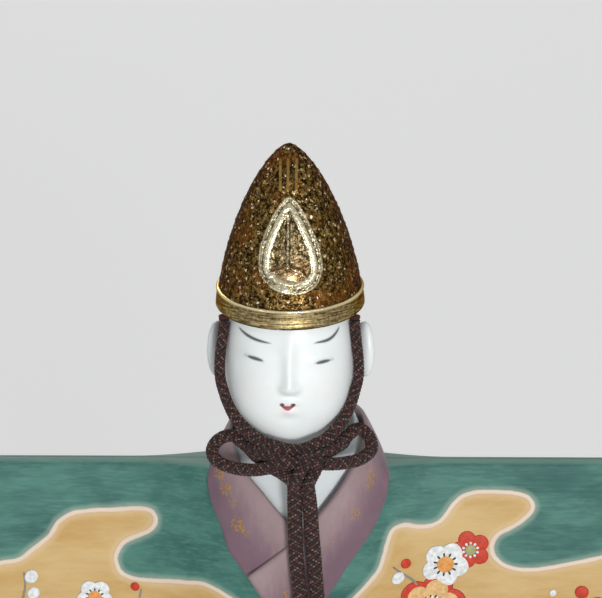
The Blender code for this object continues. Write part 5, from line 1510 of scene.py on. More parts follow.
def robe_paint():
    """Watery green with brushed streaks, ochre clouds and their rosy raised rims, and a painted highlight
    along the top edge.
    """
    paint = Finish("painted robe", roughness=0.55, Specular_IOR_Level=0.35)
    wash = paint.noise(16 * MM, detail=4.0, roughness=0.6, stretch=(0.6, 1.0, 1.3))
    streak = paint.noise(4.5 * MM, detail=4.0, roughness=0.65, stretch=(0.35, 1.0, 1.8))
    hairs = paint.noise(1.1 * MM, detail=3.0, stretch=(0.25, 1.0, 1.7))
    depth = paint.attribute("cloud")
    wobble = (paint.noise(3.0 * MM, detail=2.0) - 0.5) * 0.5
    edge = depth + wobble
    shade = (wash * 0.55 + streak * 0.45).fade(0.34, 0.64)
    teal = paint.mixed(shade, srgb(43, 92, 85), srgb(76, 126, 114))
    teal = paint.mixed(hairs.fade(0.45, 0.75) * 0.25, teal, srgb(114, 156, 142))
    teal = paint.mixed((1.0 - wash.fade(0.30, 0.46)) * 0.45, teal, srgb(42, 92, 86))
    ochre = paint.mixed(shade, srgb(192, 154, 92), srgb(206, 176, 122))
    ochre = paint.mixed(edge.fade(2.4, 0.9) * 0.55, ochre, srgb(217, 188, 146))
    colour = paint.mixed(edge.fade(-0.35, 0.0), teal, ochre)
    glow = edge.fade(-1.9, -0.5) * (1.0 - edge.fade(-0.3, 0.3))
    colour = paint.mixed(glow * 0.42, colour, srgb(172, 186, 172))
    rim = edge.fade(-0.55, -0.15) * (1.0 - edge.fade(0.45, 0.95))
    colour = paint.mixed(rim * 0.88, colour, srgb(226, 207, 190))
    # Painted highlight: a paler band along the robe's top edge, where its rounded edge catches the light.
    top = paint.axes(paint.place())[2].fade(168.8, 169.8)
    colour = paint.mixed(top * 0.5, colour, srgb(150, 184, 170))
    paint.put("Base Color", colour)
    paint.put("Roughness", 0.58 - rim * 0.1 + (hairs - 0.5) * 0.15)
    relief = rim * 0.6 + edge.fade(-0.4, 0.4) * 0.25 + hairs * 0.12 + streak * 0.08
    paint.bump(relief, 0.35 * MM, 0.7)
    return paint.material


ROBE_PAINT = robe_paint()
for side, made in robe.items():
    paint_depth(made, side == "back")
    finish_piece(made, ROBE_PAINT, "teal_robe", "torso", "robe_" + side)

# %% [markdown]
# ## Collars
# Two collars of folded silk lie one in the other: white inside, mauve outside. Each is a padded
# band from its foot on the robe to its lip at the neck. Rows of places, given as shares of the
# collar's size, lead from the nape to the front; a smooth curve runs through the rows.

# %% Collars
NECKLINE_SHIFT = 1.6 * MM
COLLAR_HALF_WIDTH = 20.5 * MM
COLLAR_DEPTH = 17.0 * MM
COLLAR_DROP = 38.5 * MM
# Each row: lip across, lip forward, lip up, foot across, foot forward, foot up, share on the robe.
MAUVE_BACK = (
    (0.00, -0.759, 0.260, 0.00, -0.735, -0.046, 0.0),
    (0.40, -0.659, 0.255, 0.51, -0.647, -0.046, 0.0),
    (0.67, -0.324, 0.223, 0.84, -0.388, -0.046, 0.0),
    (0.74, 0.059, 0.164, 0.96, 0.088, -0.062, 0.3),
    (0.69, 0.400, 0.091, 0.97, 0.412, -0.109, 0.6),
    (0.57, 0.647, -0.016, 0.93, 0.518, -0.221, 1.0),
)
MAUVE_UNDER = MAUVE_BACK + ((0.37, 0.810, -0.130, 0.815, 0.645, -0.358, 1.0),
                            (0.16, 0.930, -0.252, 0.735, 0.755, -0.494, 1.0),
                            (0.012, 0.965, -0.325, 0.645, 0.805, -0.560, 1.0),
                            (-0.12, 0.975, -0.385, 0.545, 0.835, -0.640, 1.0))
MAUVE_OVER = MAUVE_BACK + ((0.42, 0.810, -0.130, 0.815, 0.645, -0.358, 1.0),
                           (0.215, 0.930, -0.252, 0.644, 0.755, -0.494, 1.0),
                           (0.05, 0.990, -0.358, 0.512, 0.835, -0.590, 1.0),
                           (-0.155, 0.995, -0.449, 0.273, 0.875, -0.784, 1.0),
                           (-0.52, 0.875, -0.622, -0.05, 0.885, -0.992, 1.0))
WHITE = (
    (0.00, -0.671, 0.250, 0.00, -0.635, -0.046, 0.0),
    (0.36, -0.576, 0.245, 0.44, -0.547, -0.046, 0.0),
    (0.59, -0.271, 0.213, 0.74, -0.306, -0.046, 0.0),
    (0.62, 0.071, 0.151, 0.82, 0.094, -0.057, 0.3),
    (0.54, 0.388, 0.078, 0.77, 0.412, -0.100, 0.6),
    (0.30, 0.560, 0.040, 0.65, 0.588, -0.150, 1.0),
    (0.06, 0.650, 0.000, 0.49, 0.715, -0.240, 1.0),
    (0.0075, 0.790, -0.150, 0.31, 0.800, -0.340, 1.0),
    (-0.02, 0.890, -0.290, 0.09, 0.880, -0.420, 1.0),
)
COLLAR_ROWS = 110
COLLAR_STEPS = 22
COLLAR_SINK = 0.9 * MM
BACK_LIFT_SHARE = 0.4


def smooth_rows(rows, count):
    """Many rows on smooth curves through a few."""
    table = np.array(rows, float)
    table = np.concatenate([2 * table[:1] - table[1:2], table, 2 * table[-1:] - table[-2:-1]])
    place = np.linspace(0, len(rows) - 1, count)
    index = np.minimum(place.astype(int), len(rows) - 2)
    t = (place - index)[:, None]
    p0, p1, p2, p3 = (table[index + step] for step in range(4))
    return 0.5 * (2 * p1 + (p2 - p0) * t + (2 * p0 - 5 * p1 + 4 * p2 - p3) * t * t
                  + (3 * p1 - p0 - 3 * p2 + p3) * t ** 3)


def collar(name, rows, side, lifts):
    """A padded band: crowned outside, folded round at the lip, and tucked in at its foot."""
    foot_lift, lip_lift, puff = lifts
    table = smooth_rows(rows, COLLAR_ROWS)
    scale = np.array([side * COLLAR_HALF_WIDTH, -COLLAR_DEPTH, COLLAR_DROP])
    middle = np.array([NECKLINE_SHIFT, 0, SHOULDER_Z])
    lip = middle + table[:, 0:3] * scale
    foot = middle + table[:, 3:6] * scale
    on_robe = np.clip(table[:, 6], 0, 1)[:, None]
    seat = -robe_height(foot[:, 0], foot[:, 2])
    foot[:, 1] = mix(foot[:, 1], seat, smooth_share((on_robe[:, 0] - 0.45) / 0.55))
    along = np.gradient(lip + foot, axis=0)
    along /= np.linalg.norm(along, axis=1)[:, None]
    along[0] = (side, 0, 0)
    rise = lip - foot
    rise /= np.linalg.norm(rise, axis=1)[:, None]
    out = np.cross(along, rise)
    out /= np.linalg.norm(out, axis=1)[:, None]
    facing = (out * ((lip + foot) / 2 - (NECKLINE_SHIFT, 0, 0)) * (1, 1, 0)).sum(1)
    out *= np.where(facing < 0, -1, 1)[:, None]
    share = np.linspace(0, 1, COLLAR_STEPS)
    lift = mix(foot_lift, lip_lift, share) + puff * 4 * share * (1 - share)
    lift = lift * (1 - 0.5 * (1 - ridge(1 - share, 0.06)) * (share > 0.94))
    lift = lift[None, :] * mix(BACK_LIFT_SHARE, 1.0, smooth_share(on_robe))
    front = foot[:, None] + (lip - foot)[:, None] * share[None, :, None] + out[:, None] * lift[:, :, None]
    fold = lip - out * 0.15 * MM + rise * 0.25 * MM
    inner_lip = lip - out * (0.55 * MM)
    inner_foot = foot - out * (COLLAR_SINK * mix(0.7, 1.0, on_robe))
    back = np.stack([fold, inner_lip, mix(inner_lip, inner_foot, 0.5), inner_foot], axis=1)
    points = np.concatenate([front, back], axis=1)
    if abs(rows[0][0]) == 0:
        points[0, :, 0] = NECKLINE_SHIFT
    made = mesh_object(name, points.reshape(-1, 3), capped(COLLAR_ROWS, points.shape[1]))
    number_attribute(made, "across", np.tile(np.concatenate([share, np.ones(4)]), COLLAR_ROWS))
    number_attribute(made, "along", np.repeat(np.linspace(0, 1, COLLAR_ROWS), points.shape[1]))
    return made


def silk_weave(finish, size=0.22 * MM):
    """The fine plain weave of silk, as a height from 0 to 1."""
    x, y, z = finish.axes(finish.place())
    warp = ((x + y) * (math.tau * MM / size)).sine()
    weft = (z * (math.tau * MM / size)).sine()
    return (warp * weft) * 0.5 + 0.5


def white_silk():
    silk = Finish("white silk", roughness=0.6, Specular_IOR_Level=0.3, Sheen_Weight=0.2, Sheen_Roughness=0.5)
    mottle = silk.noise(4 * MM, detail=3.0)
    silk.put("Base Color", silk.mixed(mottle, srgb(214, 222, 224), srgb(232, 237, 238)))
    silk.bump(silk_weave(silk) * 0.5 + mottle * 0.5, 0.04 * MM, 0.5)
    return silk.material


# Each spot of gold flecks: across and up on the doll, half sizes in millimetres, and how dense.
GOLD_SPOTS = (
    (-15.6, 169.2, 1.5, 1.6, 1.0), (-14.2, 166.2, 1.6, 1.8, 1.0), (-12.6, 163.4, 1.2, 1.4, 0.9),
    (-11.4, 158.8, 1.9, 1.9, 1.0), (-9.6, 157.0, 1.3, 1.0, 0.7), (17.7, 168.6, 1.4, 2.6, 1.0),
    (14.3, 161.6, 1.7, 1.9, 0.9), (9.2, 155.2, 2.2, 0.9, 0.6), (-0.6, 143.9, 0.8, 1.6, 1.0),
    (-19.0, 93.0, 2.4, 2.0, 0.8), (24.0, 97.0, 2.6, 1.8, 0.8),
)


def mauve_silk():
    """Dull mauve, rosier at the inner edge and darker towards the foot, partly as painted shade, with flecks
    of gold in a few places.
    """
    silk = Finish("mauve silk", roughness=0.6, Specular_IOR_Level=0.3, Sheen_Weight=0.15,
                  Sheen_Roughness=0.45)
    across = silk.attribute("across")
    wash = silk.noise(6 * MM, detail=3.0, roughness=0.6)
    brush = silk.noise(1.6 * MM, detail=3.0, stretch=(1.6, 1.0, 0.5))
    purple = silk.mixed(wash, srgb(112, 88, 102), srgb(132, 106, 116))
    rosy = silk.mixed(wash, srgb(150, 128, 132), srgb(168, 146, 148))
    # Rosier and lighter towards the lip, darker purple towards the foot: partly the silk's own tone, partly
    # painted shade where the padded band turns away.
    colour = silk.mixed((across + (brush - 0.5) * 0.3).fade(0.25, 1.0), purple, rosy)
    flake = silk.noise(0.62 * MM, detail=2.0, roughness=0.7)
    x, y, z = silk.axes(silk.place())
    cluster = 0.0
    for middle_x, middle_z, half_x, half_z, dense in GOLD_SPOTS:
        away = ((x - middle_x) / half_x) ** 2.0 + ((z - middle_z) / half_z) ** 2.0
        cluster = away.fade(1.6, 0.2) * dense + cluster
    gold = (flake + cluster * 0.16 - 0.16).fade(0.50, 0.56) * cluster.least(1.0) * y.fade(0.0, -2.0)
    colour = silk.mixed(gold, colour, srgb(186, 142, 48))
    silk.put("Base Color", colour)
    silk.put("Metallic", gold * 0.8)
    silk.put("Roughness", 0.62 - gold * 0.3)
    silk.bump(silk_weave(silk) * 0.25 + brush * 0.4 + gold * 0.35, 0.07 * MM, 0.7)
    return silk.material


WHITE_SILK = white_silk()
MAUVE_SILK = mauve_silk()
WHITE_LIFTS = (0.4 * MM, 0.7 * MM, 0.25 * MM)
MAUVE_LIFTS = (0.7 * MM, 0.9 * MM, 1.0 * MM)
UNDER_LIFTS = (0.45 * MM, 0.45 * MM, 0.95 * MM)
for name, rows, side, lifts, silk in (
        ("white_collar_left", WHITE, 1, WHITE_LIFTS, WHITE_SILK),
        ("white_collar_right", WHITE, -1, WHITE_LIFTS, WHITE_SILK),
        ("mauve_collar_left", MAUVE_OVER, 1, MAUVE_LIFTS, MAUVE_SILK),
        ("mauve_collar_right", MAUVE_UNDER, -1, UNDER_LIFTS, MAUVE_SILK)):
    band = collar(name + "_silk", rows, side, lifts)
    slot = "white_collar" if silk is WHITE_SILK else "mauve_cloth"
    finish_piece(band, silk, slot, "torso", name)

# %% [markdown]
# ## The hakama
# Wide pleated trousers flare from the waist to the hem. A cross section is worked out for each
# height: flat where the robe is tucked in, then a bell with a fold for every pleat.

# %% Hakama
HAKAMA_TUCK_Z = ROBE_BOTTOM_Z - 0.3 * MM
HEM_Z = 1.2 * MM
HAKAMA_WALL = 3.2 * MM
TUCK_CLEARANCE = 0.8 * MM
HEM_HALF_WIDTH = 55 * MM
HEM_HALF_DEPTH = 30 * MM
HEM_SIDE_DEPTH = 5.2 * MM
PLEATS = 7
PLEAT_DEPTH = 1.6 * MM
PLEAT_POINTS = 22
HAKAMA_LEVELS = 70


def hakama_section(z, side, inset, pleated, points=PLEAT_POINTS):
    """Half of the hakama's cross section, from -X round to +X, as points on one level."""
    down = max((HAKAMA_TUCK_Z - z) / (HAKAMA_TUCK_Z - HEM_Z), 0.0)
    top_half_width = WAIST_HALF_WIDTH + TUCK_CLEARANCE + HAKAMA_WALL
    top_side_depth = SLEEVE_HALF_THICKNESS + TUCK_CLEARANCE + HAKAMA_WALL
    half_width = mix(top_half_width, HEM_HALF_WIDTH, down ** 0.9) - inset
    hem_depth = mix(top_side_depth + CHEST_SWELL, HEM_HALF_DEPTH, down ** 0.8)
    side_depth = mix(top_side_depth, HEM_SIDE_DEPTH, down) - inset
    blend = smooth_share(down * 1.6)
    across = np.linspace(-1, 1, PLEATS * points + 1)
    reach = np.sin(across * math.pi / 2)
    fade = np.maximum(np.cos(across * math.pi / 2), 0)
    lens = side_depth + CHEST_SWELL * np.cos(reach * math.pi / 2) ** 2
    bell = side_depth + (hem_depth - inset - side_depth) * fade ** 0.9
    depth = mix(lens, bell, blend)
    if pleated:
        fold = np.abs(np.sin(PLEATS * across * math.pi / 2))
        depth = depth + PLEAT_DEPTH * (fold - 0.5) * fade * smooth_share(down * 2)
    ends = np.array([[-half_width, side * PARTING, z], [half_width, side * PARTING, z]])
    middle = np.stack([half_width * reach, side * depth, np.full(len(across), z)], axis=1)
    return np.concatenate([ends[:1], middle, ends[1:]])


def hakama_half(name, side):
    """One half of the hakama, outer face and inner face in one closed form."""
    levels = [HAKAMA_TOP_Z] + [mix(HAKAMA_TUCK_Z, HEM_Z, (level / (HAKAMA_LEVELS - 1)) ** 0.8)
                               for level in range(HAKAMA_LEVELS)]
    rings = [np.concatenate([hakama_section(z, side, 0.0, True),
                             hakama_section(z, side, HAKAMA_WALL, False)[::-1]]) for z in levels]
    made = mesh_object(name, np.concatenate(rings), capped(len(rings), len(rings[0])))
    made.data.set_sharp_from_angle(angle=math.radians(50))
    return made


def hakama_paint():
    """Brushed ochre with a teal band over the hem and a rosy rim along its edge."""
    paint = Finish("painted hakama", roughness=0.6, Specular_IOR_Level=0.3)
    x, y, z = paint.axes(paint.place())
    wash = paint.noise(14 * MM, detail=4.0, roughness=0.6, stretch=(1.4, 1.4, 0.5))
    hairs = paint.noise(1.2 * MM, detail=3.0, stretch=(1.8, 1.8, 0.22))
    colour = paint.mixed(wash, srgb(196, 152, 84), srgb(216, 182, 120))
    colour = paint.mixed(hairs.fade(0.45, 0.75) * 0.35, colour, srgb(224, 198, 150))
    wave = (x * 0.16).sine() * 3.2 + (x * 0.055 + 1.0).sine() * 4.0 + (wash - 0.5) * 5.0
    depth = 26.0 + wave - z
    teal = paint.mixed(wash, srgb(43, 92, 85), srgb(76, 126, 114))
    colour = paint.mixed(depth.fade(-0.3, 0.3), colour, teal)
    rim = depth.fade(-0.9, -0.4) * (1.0 - depth.fade(0.3, 0.8))
    colour = paint.mixed(rim * 0.88, colour, srgb(226, 207, 190))
    paint.put("Base Color", colour)
    paint.put("Roughness", 0.6 + (hairs - 0.5) * 0.15)
    paint.bump(rim * 0.6 + hairs * 0.2, 0.3 * MM, 0.7)
    return paint.material


HAKAMA_PAINT = hakama_paint()
for name, side in (("hakama_front", -1), ("hakama_back", 1)):
    finish_piece(hakama_half(name + "_painted", side), HAKAMA_PAINT, "ochre_hakama", "torso", name)

# %% [markdown]
# ## Plum blossom
# Plum blossom stands on the clouds in thick shell paint. A flower is the same few rounds repeated:
# five petals, a heart, a ring of stamens. One node tree sets any number of flat drops round each
# point of a seed mesh, and every kind of round is one run of that tree. The drops are then laid on
# the robe by adding its height, so that they follow the swell of the chest.

# %% Blossom tree
def blossom_tree():
    """The node tree that sets a ring of flat drops round every seed point."""
    bloom = Tree("blossom", (("Drops", "Int"), ("Reach", "Float"), ("Drop Radius", "Float"),
                             ("Stretch", "Float"), ("Thickness", "Float"), ("First Turn", "Float"),
                             ("Material", "Material")))
    given = bloom.inputs
    spots = bloom.node("GeometryNodePoints", None, {"Count": given["Drops"]})
    index = bloom.node("GeometryNodeInputIndex")
    angle = bloom.maths("MULTIPLY", bloom.maths("DIVIDE", index, given["Drops"]), math.tau)
    angle = bloom.maths("ADD", angle, given["First Turn"])
    place = bloom.node("ShaderNodeCombineXYZ", None,
                       {0: bloom.maths("MULTIPLY", bloom.maths("COSINE", angle), given["Reach"]),
                        1: bloom.maths("MULTIPLY", bloom.maths("SINE", angle), given["Reach"])})
    spots = bloom.node("GeometryNodeSetPosition", None, {"Geometry": spots, "Position": place})
    ball = bloom.node("GeometryNodeMeshUVSphere", None, {"Segments": 18, "Rings": 8, "Radius": 1.0})
    size = bloom.node("ShaderNodeCombineXYZ", None,
                      {0: bloom.maths("MULTIPLY", given["Drop Radius"], given["Stretch"]),
                       1: given["Drop Radius"], 2: given["Thickness"]})
    turn = bloom.node("ShaderNodeCombineXYZ", None, {2: angle})
    drops = bloom.node("GeometryNodeInstanceOnPoints", None,
                       {"Points": spots, "Instance": ball, "Rotation": turn, "Scale": size})
    flower = bloom.node("GeometryNodeRealizeInstances", None, {0: drops})
    flower = bloom.node("GeometryNodeTransform", None,
                        {"Geometry": flower, "Rotation": (math.pi / 2, 0, 0)})
    facing = bloom.node("ShaderNodeCombineXYZ", None, {1: bloom.read("turn")})
    even = bloom.node("ShaderNodeCombineXYZ", None,
                      {0: bloom.read("size"), 1: 1.0, 2: bloom.read("size")})
    whole = bloom.node("GeometryNodeInstanceOnPoints", None,
                       {"Points": given["Geometry"], "Instance": flower, "Rotation": facing, "Scale": even})
    bloom.end(whole, given["Material"])
    return bloom


BLOSSOM = blossom_tree()
print("the blossom tree has", len(BLOSSOM.tree.nodes), "nodes")

# %% Places of the flowers
# Each flower or bud: kind, across and up on the robe in millimetres, size, turn in degrees.
FRONT_FLOWERS = (
    ("white", 34.6, 145.8, 1.0, 12), ("red", 40.2, 149.0, 0.86, 36), ("rimmed", 31.6, 136.3, 1.0, 0),
    ("red bud", 25.7, 147.0, 1.1, 0), ("white bud", 24.0, 143.8, 1.25, 0), ("red bud", 65.4, 138.9, 1.5, 0),
    ("white bud", 58.9, 138.7, 0.7, 0), ("white bud", -58.9, 142.0, 1.35, 0),
    ("white bud", -58.5, 138.0, 1.25, 0), ("white", -44.6, 137.2, 0.78, 20),
    ("red bud", -35.4, 139.9, 1.0, 0),
    ("red", 71.0, 133.5, 0.95, 10), ("white", 80.5, 139.0, 0.9, 30), ("red bud", 88.0, 143.5, 1.0, 0),
    ("white bud", 91.5, 138.5, 1.1, 0), ("rimmed", 92.0, 126.5, 0.9, 18), ("white", 101.0, 132.5, 0.8, 5),
    ("red", 60.5, 119.0, 0.9, 24), ("white", 69.0, 115.0, 0.85, 0), ("white bud", 54.5, 124.0, 1.0, 0),
    ("red bud", 101.5, 118.5, 1.1, 0), ("white", 20.5, 126.5, 0.75, 30), ("red", 27.0, 121.0, 0.75, 8),
    ("white bud", 14.5, 131.0, 1.0, 0), ("rimmed", -52.5, 129.0, 0.9, 30), ("red", -60.5, 122.5, 0.85, 12),
    ("white", -69.0, 131.0, 0.9, 26), ("red bud", -76.0, 136.5, 1.1, 0), ("white", -83.5, 121.0, 1.0, 8),
    ("red", -91.5, 127.5, 0.85, 40), ("white bud", -98.0, 134.0, 1.1, 0), ("rimmed", -97.5, 113.5, 0.8, 22),
    ("red bud", -73.5, 109.0, 1.0, 0), ("white", -19.5, 133.5, 0.7, 14), ("red", -27.5, 129.0, 0.7, 30),
    ("white bud", -13.5, 127.5, 0.9, 0), ("red bud", -33.6, 121.0, 1.0, 0), ("white", -29.6, 113.5, 0.7, 33),
)
TWIGS = (
    ((22.8, 146.6), (24.8, 144.8), (27.4, 142.6), (29.6, 139.5)),
    ((-60.6, 143.0), (-60.4, 139.5), (-60.9, 135.5), (-58.0, 131.5), (-53.5, 129.5)),
    ((-34.0, 139.4), (-34.2, 136.4), (-31.5, 132.5), (-28.0, 129.5)),
    ((92.5, 141.0), (90.5, 135.5), (91.5, 130.0)), ((55.5, 123.5), (57.5, 121.0), (60.0, 119.5)),
    ((-97.5, 133.0), (-95.0, 130.0), (-92.0, 128.0)), ((-75.6, 135.5), (-73.0, 133.0), (-69.5, 131.5)),
    ((14.8, 130.2), (17.5, 128.0), (20.0, 127.0)), ((66.0, 138.0), (68.0, 135.5), (70.5, 134.0)),
)
# Each round: which kinds carry it, drops, reach, radius, stretch, thickness, first turn, lift, paint.
ROUNDS = {
    "plum_red_petals": (("red",), 5, 3.0, 2.35, 1.0, 0.20, 0.0, 0.00, "red"),
    "plum_rim_petals": (("rimmed",), 5, 4.4, 3.5, 1.0, 0.22, 0.0, 0.04, "red"),
    "plum_inner_petals": (("rimmed",), 5, 3.9, 2.75, 1.0, 0.20, 0.0, 0.12, "peach"),
    "plum_white_petals": (("white",), 5, 2.85, 2.55, 1.0, 0.24, 0.0, 0.10, "white"),
    "plum_olive_hearts": (("red", "rimmed"), 1, 0.0, 1.5, 1.0, 0.16, 0.0, 0.20, "olive"),
    "plum_orange_hearts": (("white",), 1, 0.0, 2.1, 1.0, 0.16, 0.0, 0.26, "orange"),
    "plum_green_stamens": (("white",), 11, 2.35, 0.24, 2.0, 0.13, 0.2, 0.34, "green"),
    "plum_dark_stamens": (("rimmed",), 12, 2.1, 0.22, 2.0, 0.12, 0.1, 0.28, "green"),
    "plum_white_stamens": (("red", "rimmed"), 10, 1.9, 0.36, 1.2, 0.15, 0.3, 0.26, "white"),
    "plum_red_buds": (("red bud",), 1, 0.0, 1.05, 1.0, 0.26, 0.0, 0.10, "red"),
    "plum_white_buds": (("white bud",), 1, 0.0, 1.1, 1.15, 0.28, 0.9, 0.10, "white"),
}
PAINTS = {"red": (206, 62, 38), "white": (238, 240, 240), "peach": (232, 188, 128), "olive": (170, 172, 118),
          "orange": (232, 160, 84), "green": (34, 66, 40), "grey": (150, 146, 140)}
print(len(FRONT_FLOWERS), "flowers and buds on the front")


def shell_paint(name, colour):
    """Thick matt shell paint, a little uneven."""
    paint = Finish("shell paint " + name, roughness=0.6, Specular_IOR_Level=0.35)
    uneven = paint.noise(0.9 * MM, detail=3.0)
    darker = [value * 0.86 for value in colour]
    paint.put("Base Color", paint.mixed(uneven.fade(0.3, 0.7), srgb(*darker), srgb(*colour)))
    paint.put("Roughness", 0.55 + (uneven - 0.5) * 0.2)
    paint.bump(uneven, 0.08 * MM, 0.6)
    return paint.material


SHELL_PAINTS = {name: shell_paint(name, colour) for name, colour in PAINTS.items()}


def flowers_of(side):
    """The flowers of the front, or for the back the same ones seen from behind, a little lower."""
    if side < 0:
        return FRONT_FLOWERS
    return [(kind, -x, z - BACK_DROP, size, turn + 18) for kind, x, z, size, turn in FRONT_FLOWERS]


def lay_on_robe(made, side, lift):
    """Add the robe's height, so that flat paint follows the robe's face."""
    points = mesh_points(made)
    rise = robe_height(points[:, 0], points[:, 2]) + lift * MM
    points[:, 1] = side * (rise - points[:, 1])
    set_points(made, points)


def paint_round(name, side, kinds, drops, reach, radius, stretch, thickness, turn, lift, paint):
    """One kind of round on every flower of a side that carries it."""
    chosen = [flower for flower in flowers_of(side) if flower[0] in kinds]
    seed = mesh_object("seed", [(x * MM, 0, z * MM) for _, x, z, _, _ in chosen], [], outward=False)
    number_attribute(seed, "size", [flower[3] for flower in chosen])
    number_attribute(seed, "turn", [math.radians(flower[4]) for flower in chosen])
    made = BLOSSOM.run(seed, name + ("_front" if side < 0 else "_back"), Drops=drops, Reach=reach * MM,
                       Drop_Radius=radius * MM, Stretch=float(stretch), Thickness=thickness * MM,
                       First_Turn=float(turn), Material=SHELL_PAINTS[paint])
    lay_on_robe(made, side, lift)
    bm = bmesh.new()
    bm.from_mesh(made.data)
    bmesh.ops.recalc_face_normals(bm, faces=bm.faces)
    bm.to_mesh(made.data)
    bm.free()
    finish_piece(made, None, "teal_robe", "torso")


for side in (-1, 1):
    for name, facts in ROUNDS.items():
        paint_round(name, side, *facts)

# %% [markdown]
# ## Twigs
# Buds sit on short grey twigs, drawn with one stroke each: a thin tube that tapers to its tip.

# %% Twigs
TWIG_RADIUS = 0.28 * MM


def tapered_tube(points, radius, steps=8):
    """Points and faces of a tube round a path, thinner towards both ends."""
    rings = []
    count = len(points)
    for index, point in enumerate(points):
        along = (points[min(index + 1, count - 1)] - points[max(index - 1, 0)]).normalized()
        side = along.cross(Vector((0, 1, 0))).normalized()
        out = side.cross(along)
        share = index / (count - 1)
        here = radius * (0.35 + 0.65 * math.sin(math.pi * (0.15 + 0.7 * share)))
        for step in range(steps):
            angle = math.tau * step / steps
            rings.append(point + (side * math.cos(angle) + out * math.sin(angle) * 0.6) * here)
    return rings, capped(count, steps)


def draw_twigs(side):
    shells = []
    for twig in TWIGS:
        places = [(x, z) if side < 0 else (-x, z - BACK_DROP) for x, z in twig]
        path = smooth_route([(x * MM, 0.0, z * MM) for x, z in places], 24)[0]
        shells.append(mesh_object("twig", *tapered_tube(path, TWIG_RADIUS)))
    made = joined("plum_twigs" + ("_front" if side < 0 else "_back"), shells)
    lay_on_robe(made, side, 0.05)
    made.data.shade_smooth()
    finish_piece(made, SHELL_PAINTS["grey"], "teal_robe", "torso")


for side in (-1, 1):
    draw_twigs(side)

# %% [markdown]
# ## Waistband
# A flat silk band is wound round the top of the hakama and tied in front: a soft knot and two
# short ends. The band's section is carried round the waist, with rounded edges and a sewn line.

# %% Waistband
BAND_BOTTOM_Z = 92.5 * MM
BAND_HEIGHT = 7.8 * MM
BAND_THICKNESS = 1.6 * MM
BAND_INNER = 0.7 * MM
BAND_PROFILE = ((0.0, 0.0), (0.6, -0.02), (1.0, 0.05), (1.0, 0.12), (0.9, 0.15), (1.0, 0.18), (1.08, 0.35),
                (1.1, 0.5), (1.08, 0.65), (1.0, 0.82), (0.9, 0.85), (1.0, 0.88), (1.0, 0.95), (0.6, 1.02),
                (0.0, 1.0))


def waist_ring(z, inset):
    """The whole cross section of the hakama's top on one level, as one closed ring."""
    level = min(z, HAKAMA_TOP_Z)
    front = hakama_section(level, -1, inset, False)[1:-1]
    back = hakama_section(level, 1, inset, False)[1:-1]
    ring = np.concatenate([front, back[::-1]])
    ring[:, 2] = z
    return ring


def make_waistband():
    rings = []
    for out, up in BAND_PROFILE:
        z = BAND_BOTTOM_Z + BAND_HEIGHT * up
        rings.append(waist_ring(z, -BAND_INNER - BAND_THICKNESS * out * 0.9))
    points = np.concatenate(rings)
    made = mesh_object("waistband_silk", points, grid_faces(len(rings), len(rings[0]), wrap_rows=True))
    number_attribute(made, "across", np.full(len(points), 0.4))
    return made


def soft_lump(name, low, high, folds):
    """A tied lump of silk in a box: a rounded form with soft folds that run across it."""
    middle, halves = (low + high) / 2, (high - low) / 2
    points, faces = ball((1, 1, 1), (0, 0, 0), Matrix.Identity(3), 60, 90)
    power = 2.6
    reach = (np.abs(points) ** power).sum(1) ** (1 / power)
    points = points / reach[:, None]
    crease = np.cos(points[:, 0] * folds * math.pi) * 0.05 + np.cos(points[:, 2] * 7) * 0.03
    pinch = 1 - 0.16 * np.exp(-(points[:, 0] / 0.35) ** 2)
    points = points * np.stack([np.ones_like(pinch), (1 + crease) * 0.95, pinch], axis=1)
    points /= np.abs(points).max(0)
    return mesh_object(name, points * np.array(halves) + np.array(middle), faces)


def band_end(name, side):
    """A hanging end: a thin ribbon folded once, wider and freer towards its foot."""
    low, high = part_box(name)
    rows, steps = 50, 26
    turn = np.linspace(0, math.tau, steps, endpoint=False)
    points = []
    for share in np.linspace(0, 1, rows):
        z = mix(high.z, low.z, share)
        front = hakama_section(min(z, HAKAMA_TOP_Z), -1, 0.0, True)[:, 1].min()
        if z > BAND_BOTTOM_Z - 0.3 * MM:
            front = min(front, waist_ring(z, -BAND_INNER - BAND_THICKNESS)[:, 1].min())
        centre = NECKLINE_SHIFT + side * (5.6 * MM * 0.62 + 6 * MM * share)
        half = 2.8 * MM * (0.86 + 0.14 * share)
        thin = 0.62 * MM
        wave = 0.16 * MM * math.sin(share * 9)
        flat = np.abs(np.cos(turn)) ** 0.35 * np.sign(np.cos(turn))
        deep = np.abs(np.sin(turn)) ** 0.6 * np.sign(np.sin(turn))
        fold = 0.14 * MM * np.cos(flat * 5)
        y = front - 1.6 * MM + wave + deep * thin + fold
        points.append(np.stack([centre + flat * half, y, np.full(steps, z)], axis=1))
    made = mesh_object(name + "_silk", np.concatenate(points), capped(rows, steps))
    number_attribute(made, "across", np.full(rows * steps, 0.4))
    return made


finish_piece(make_waistband(), MAUVE_SILK, "mauve_cloth", "torso", "waistband")
knot_low, knot_high = (Vector(corner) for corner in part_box("waistband_knot"))
band_knot = soft_lump("waistband_knot_silk", knot_low, knot_high, 3)
number_attribute(band_knot, "across", np.full(len(band_knot.data.vertices), 0.7))
finish_piece(band_knot, MAUVE_SILK, "mauve_cloth", "torso", "waistband_knot")
for name, side in (("waistband_end_left", 1), ("waistband_end_right", -1)):
    finish_piece(band_end(name, side), MAUVE_SILK, "mauve_cloth", "torso", name)

# %% [markdown]
# ## Cuffs
# At each cuff a strip of mauve lining looks out between the two mouldings. It is a folded edge,
# rounded and a little wavy, as sewn silk is.

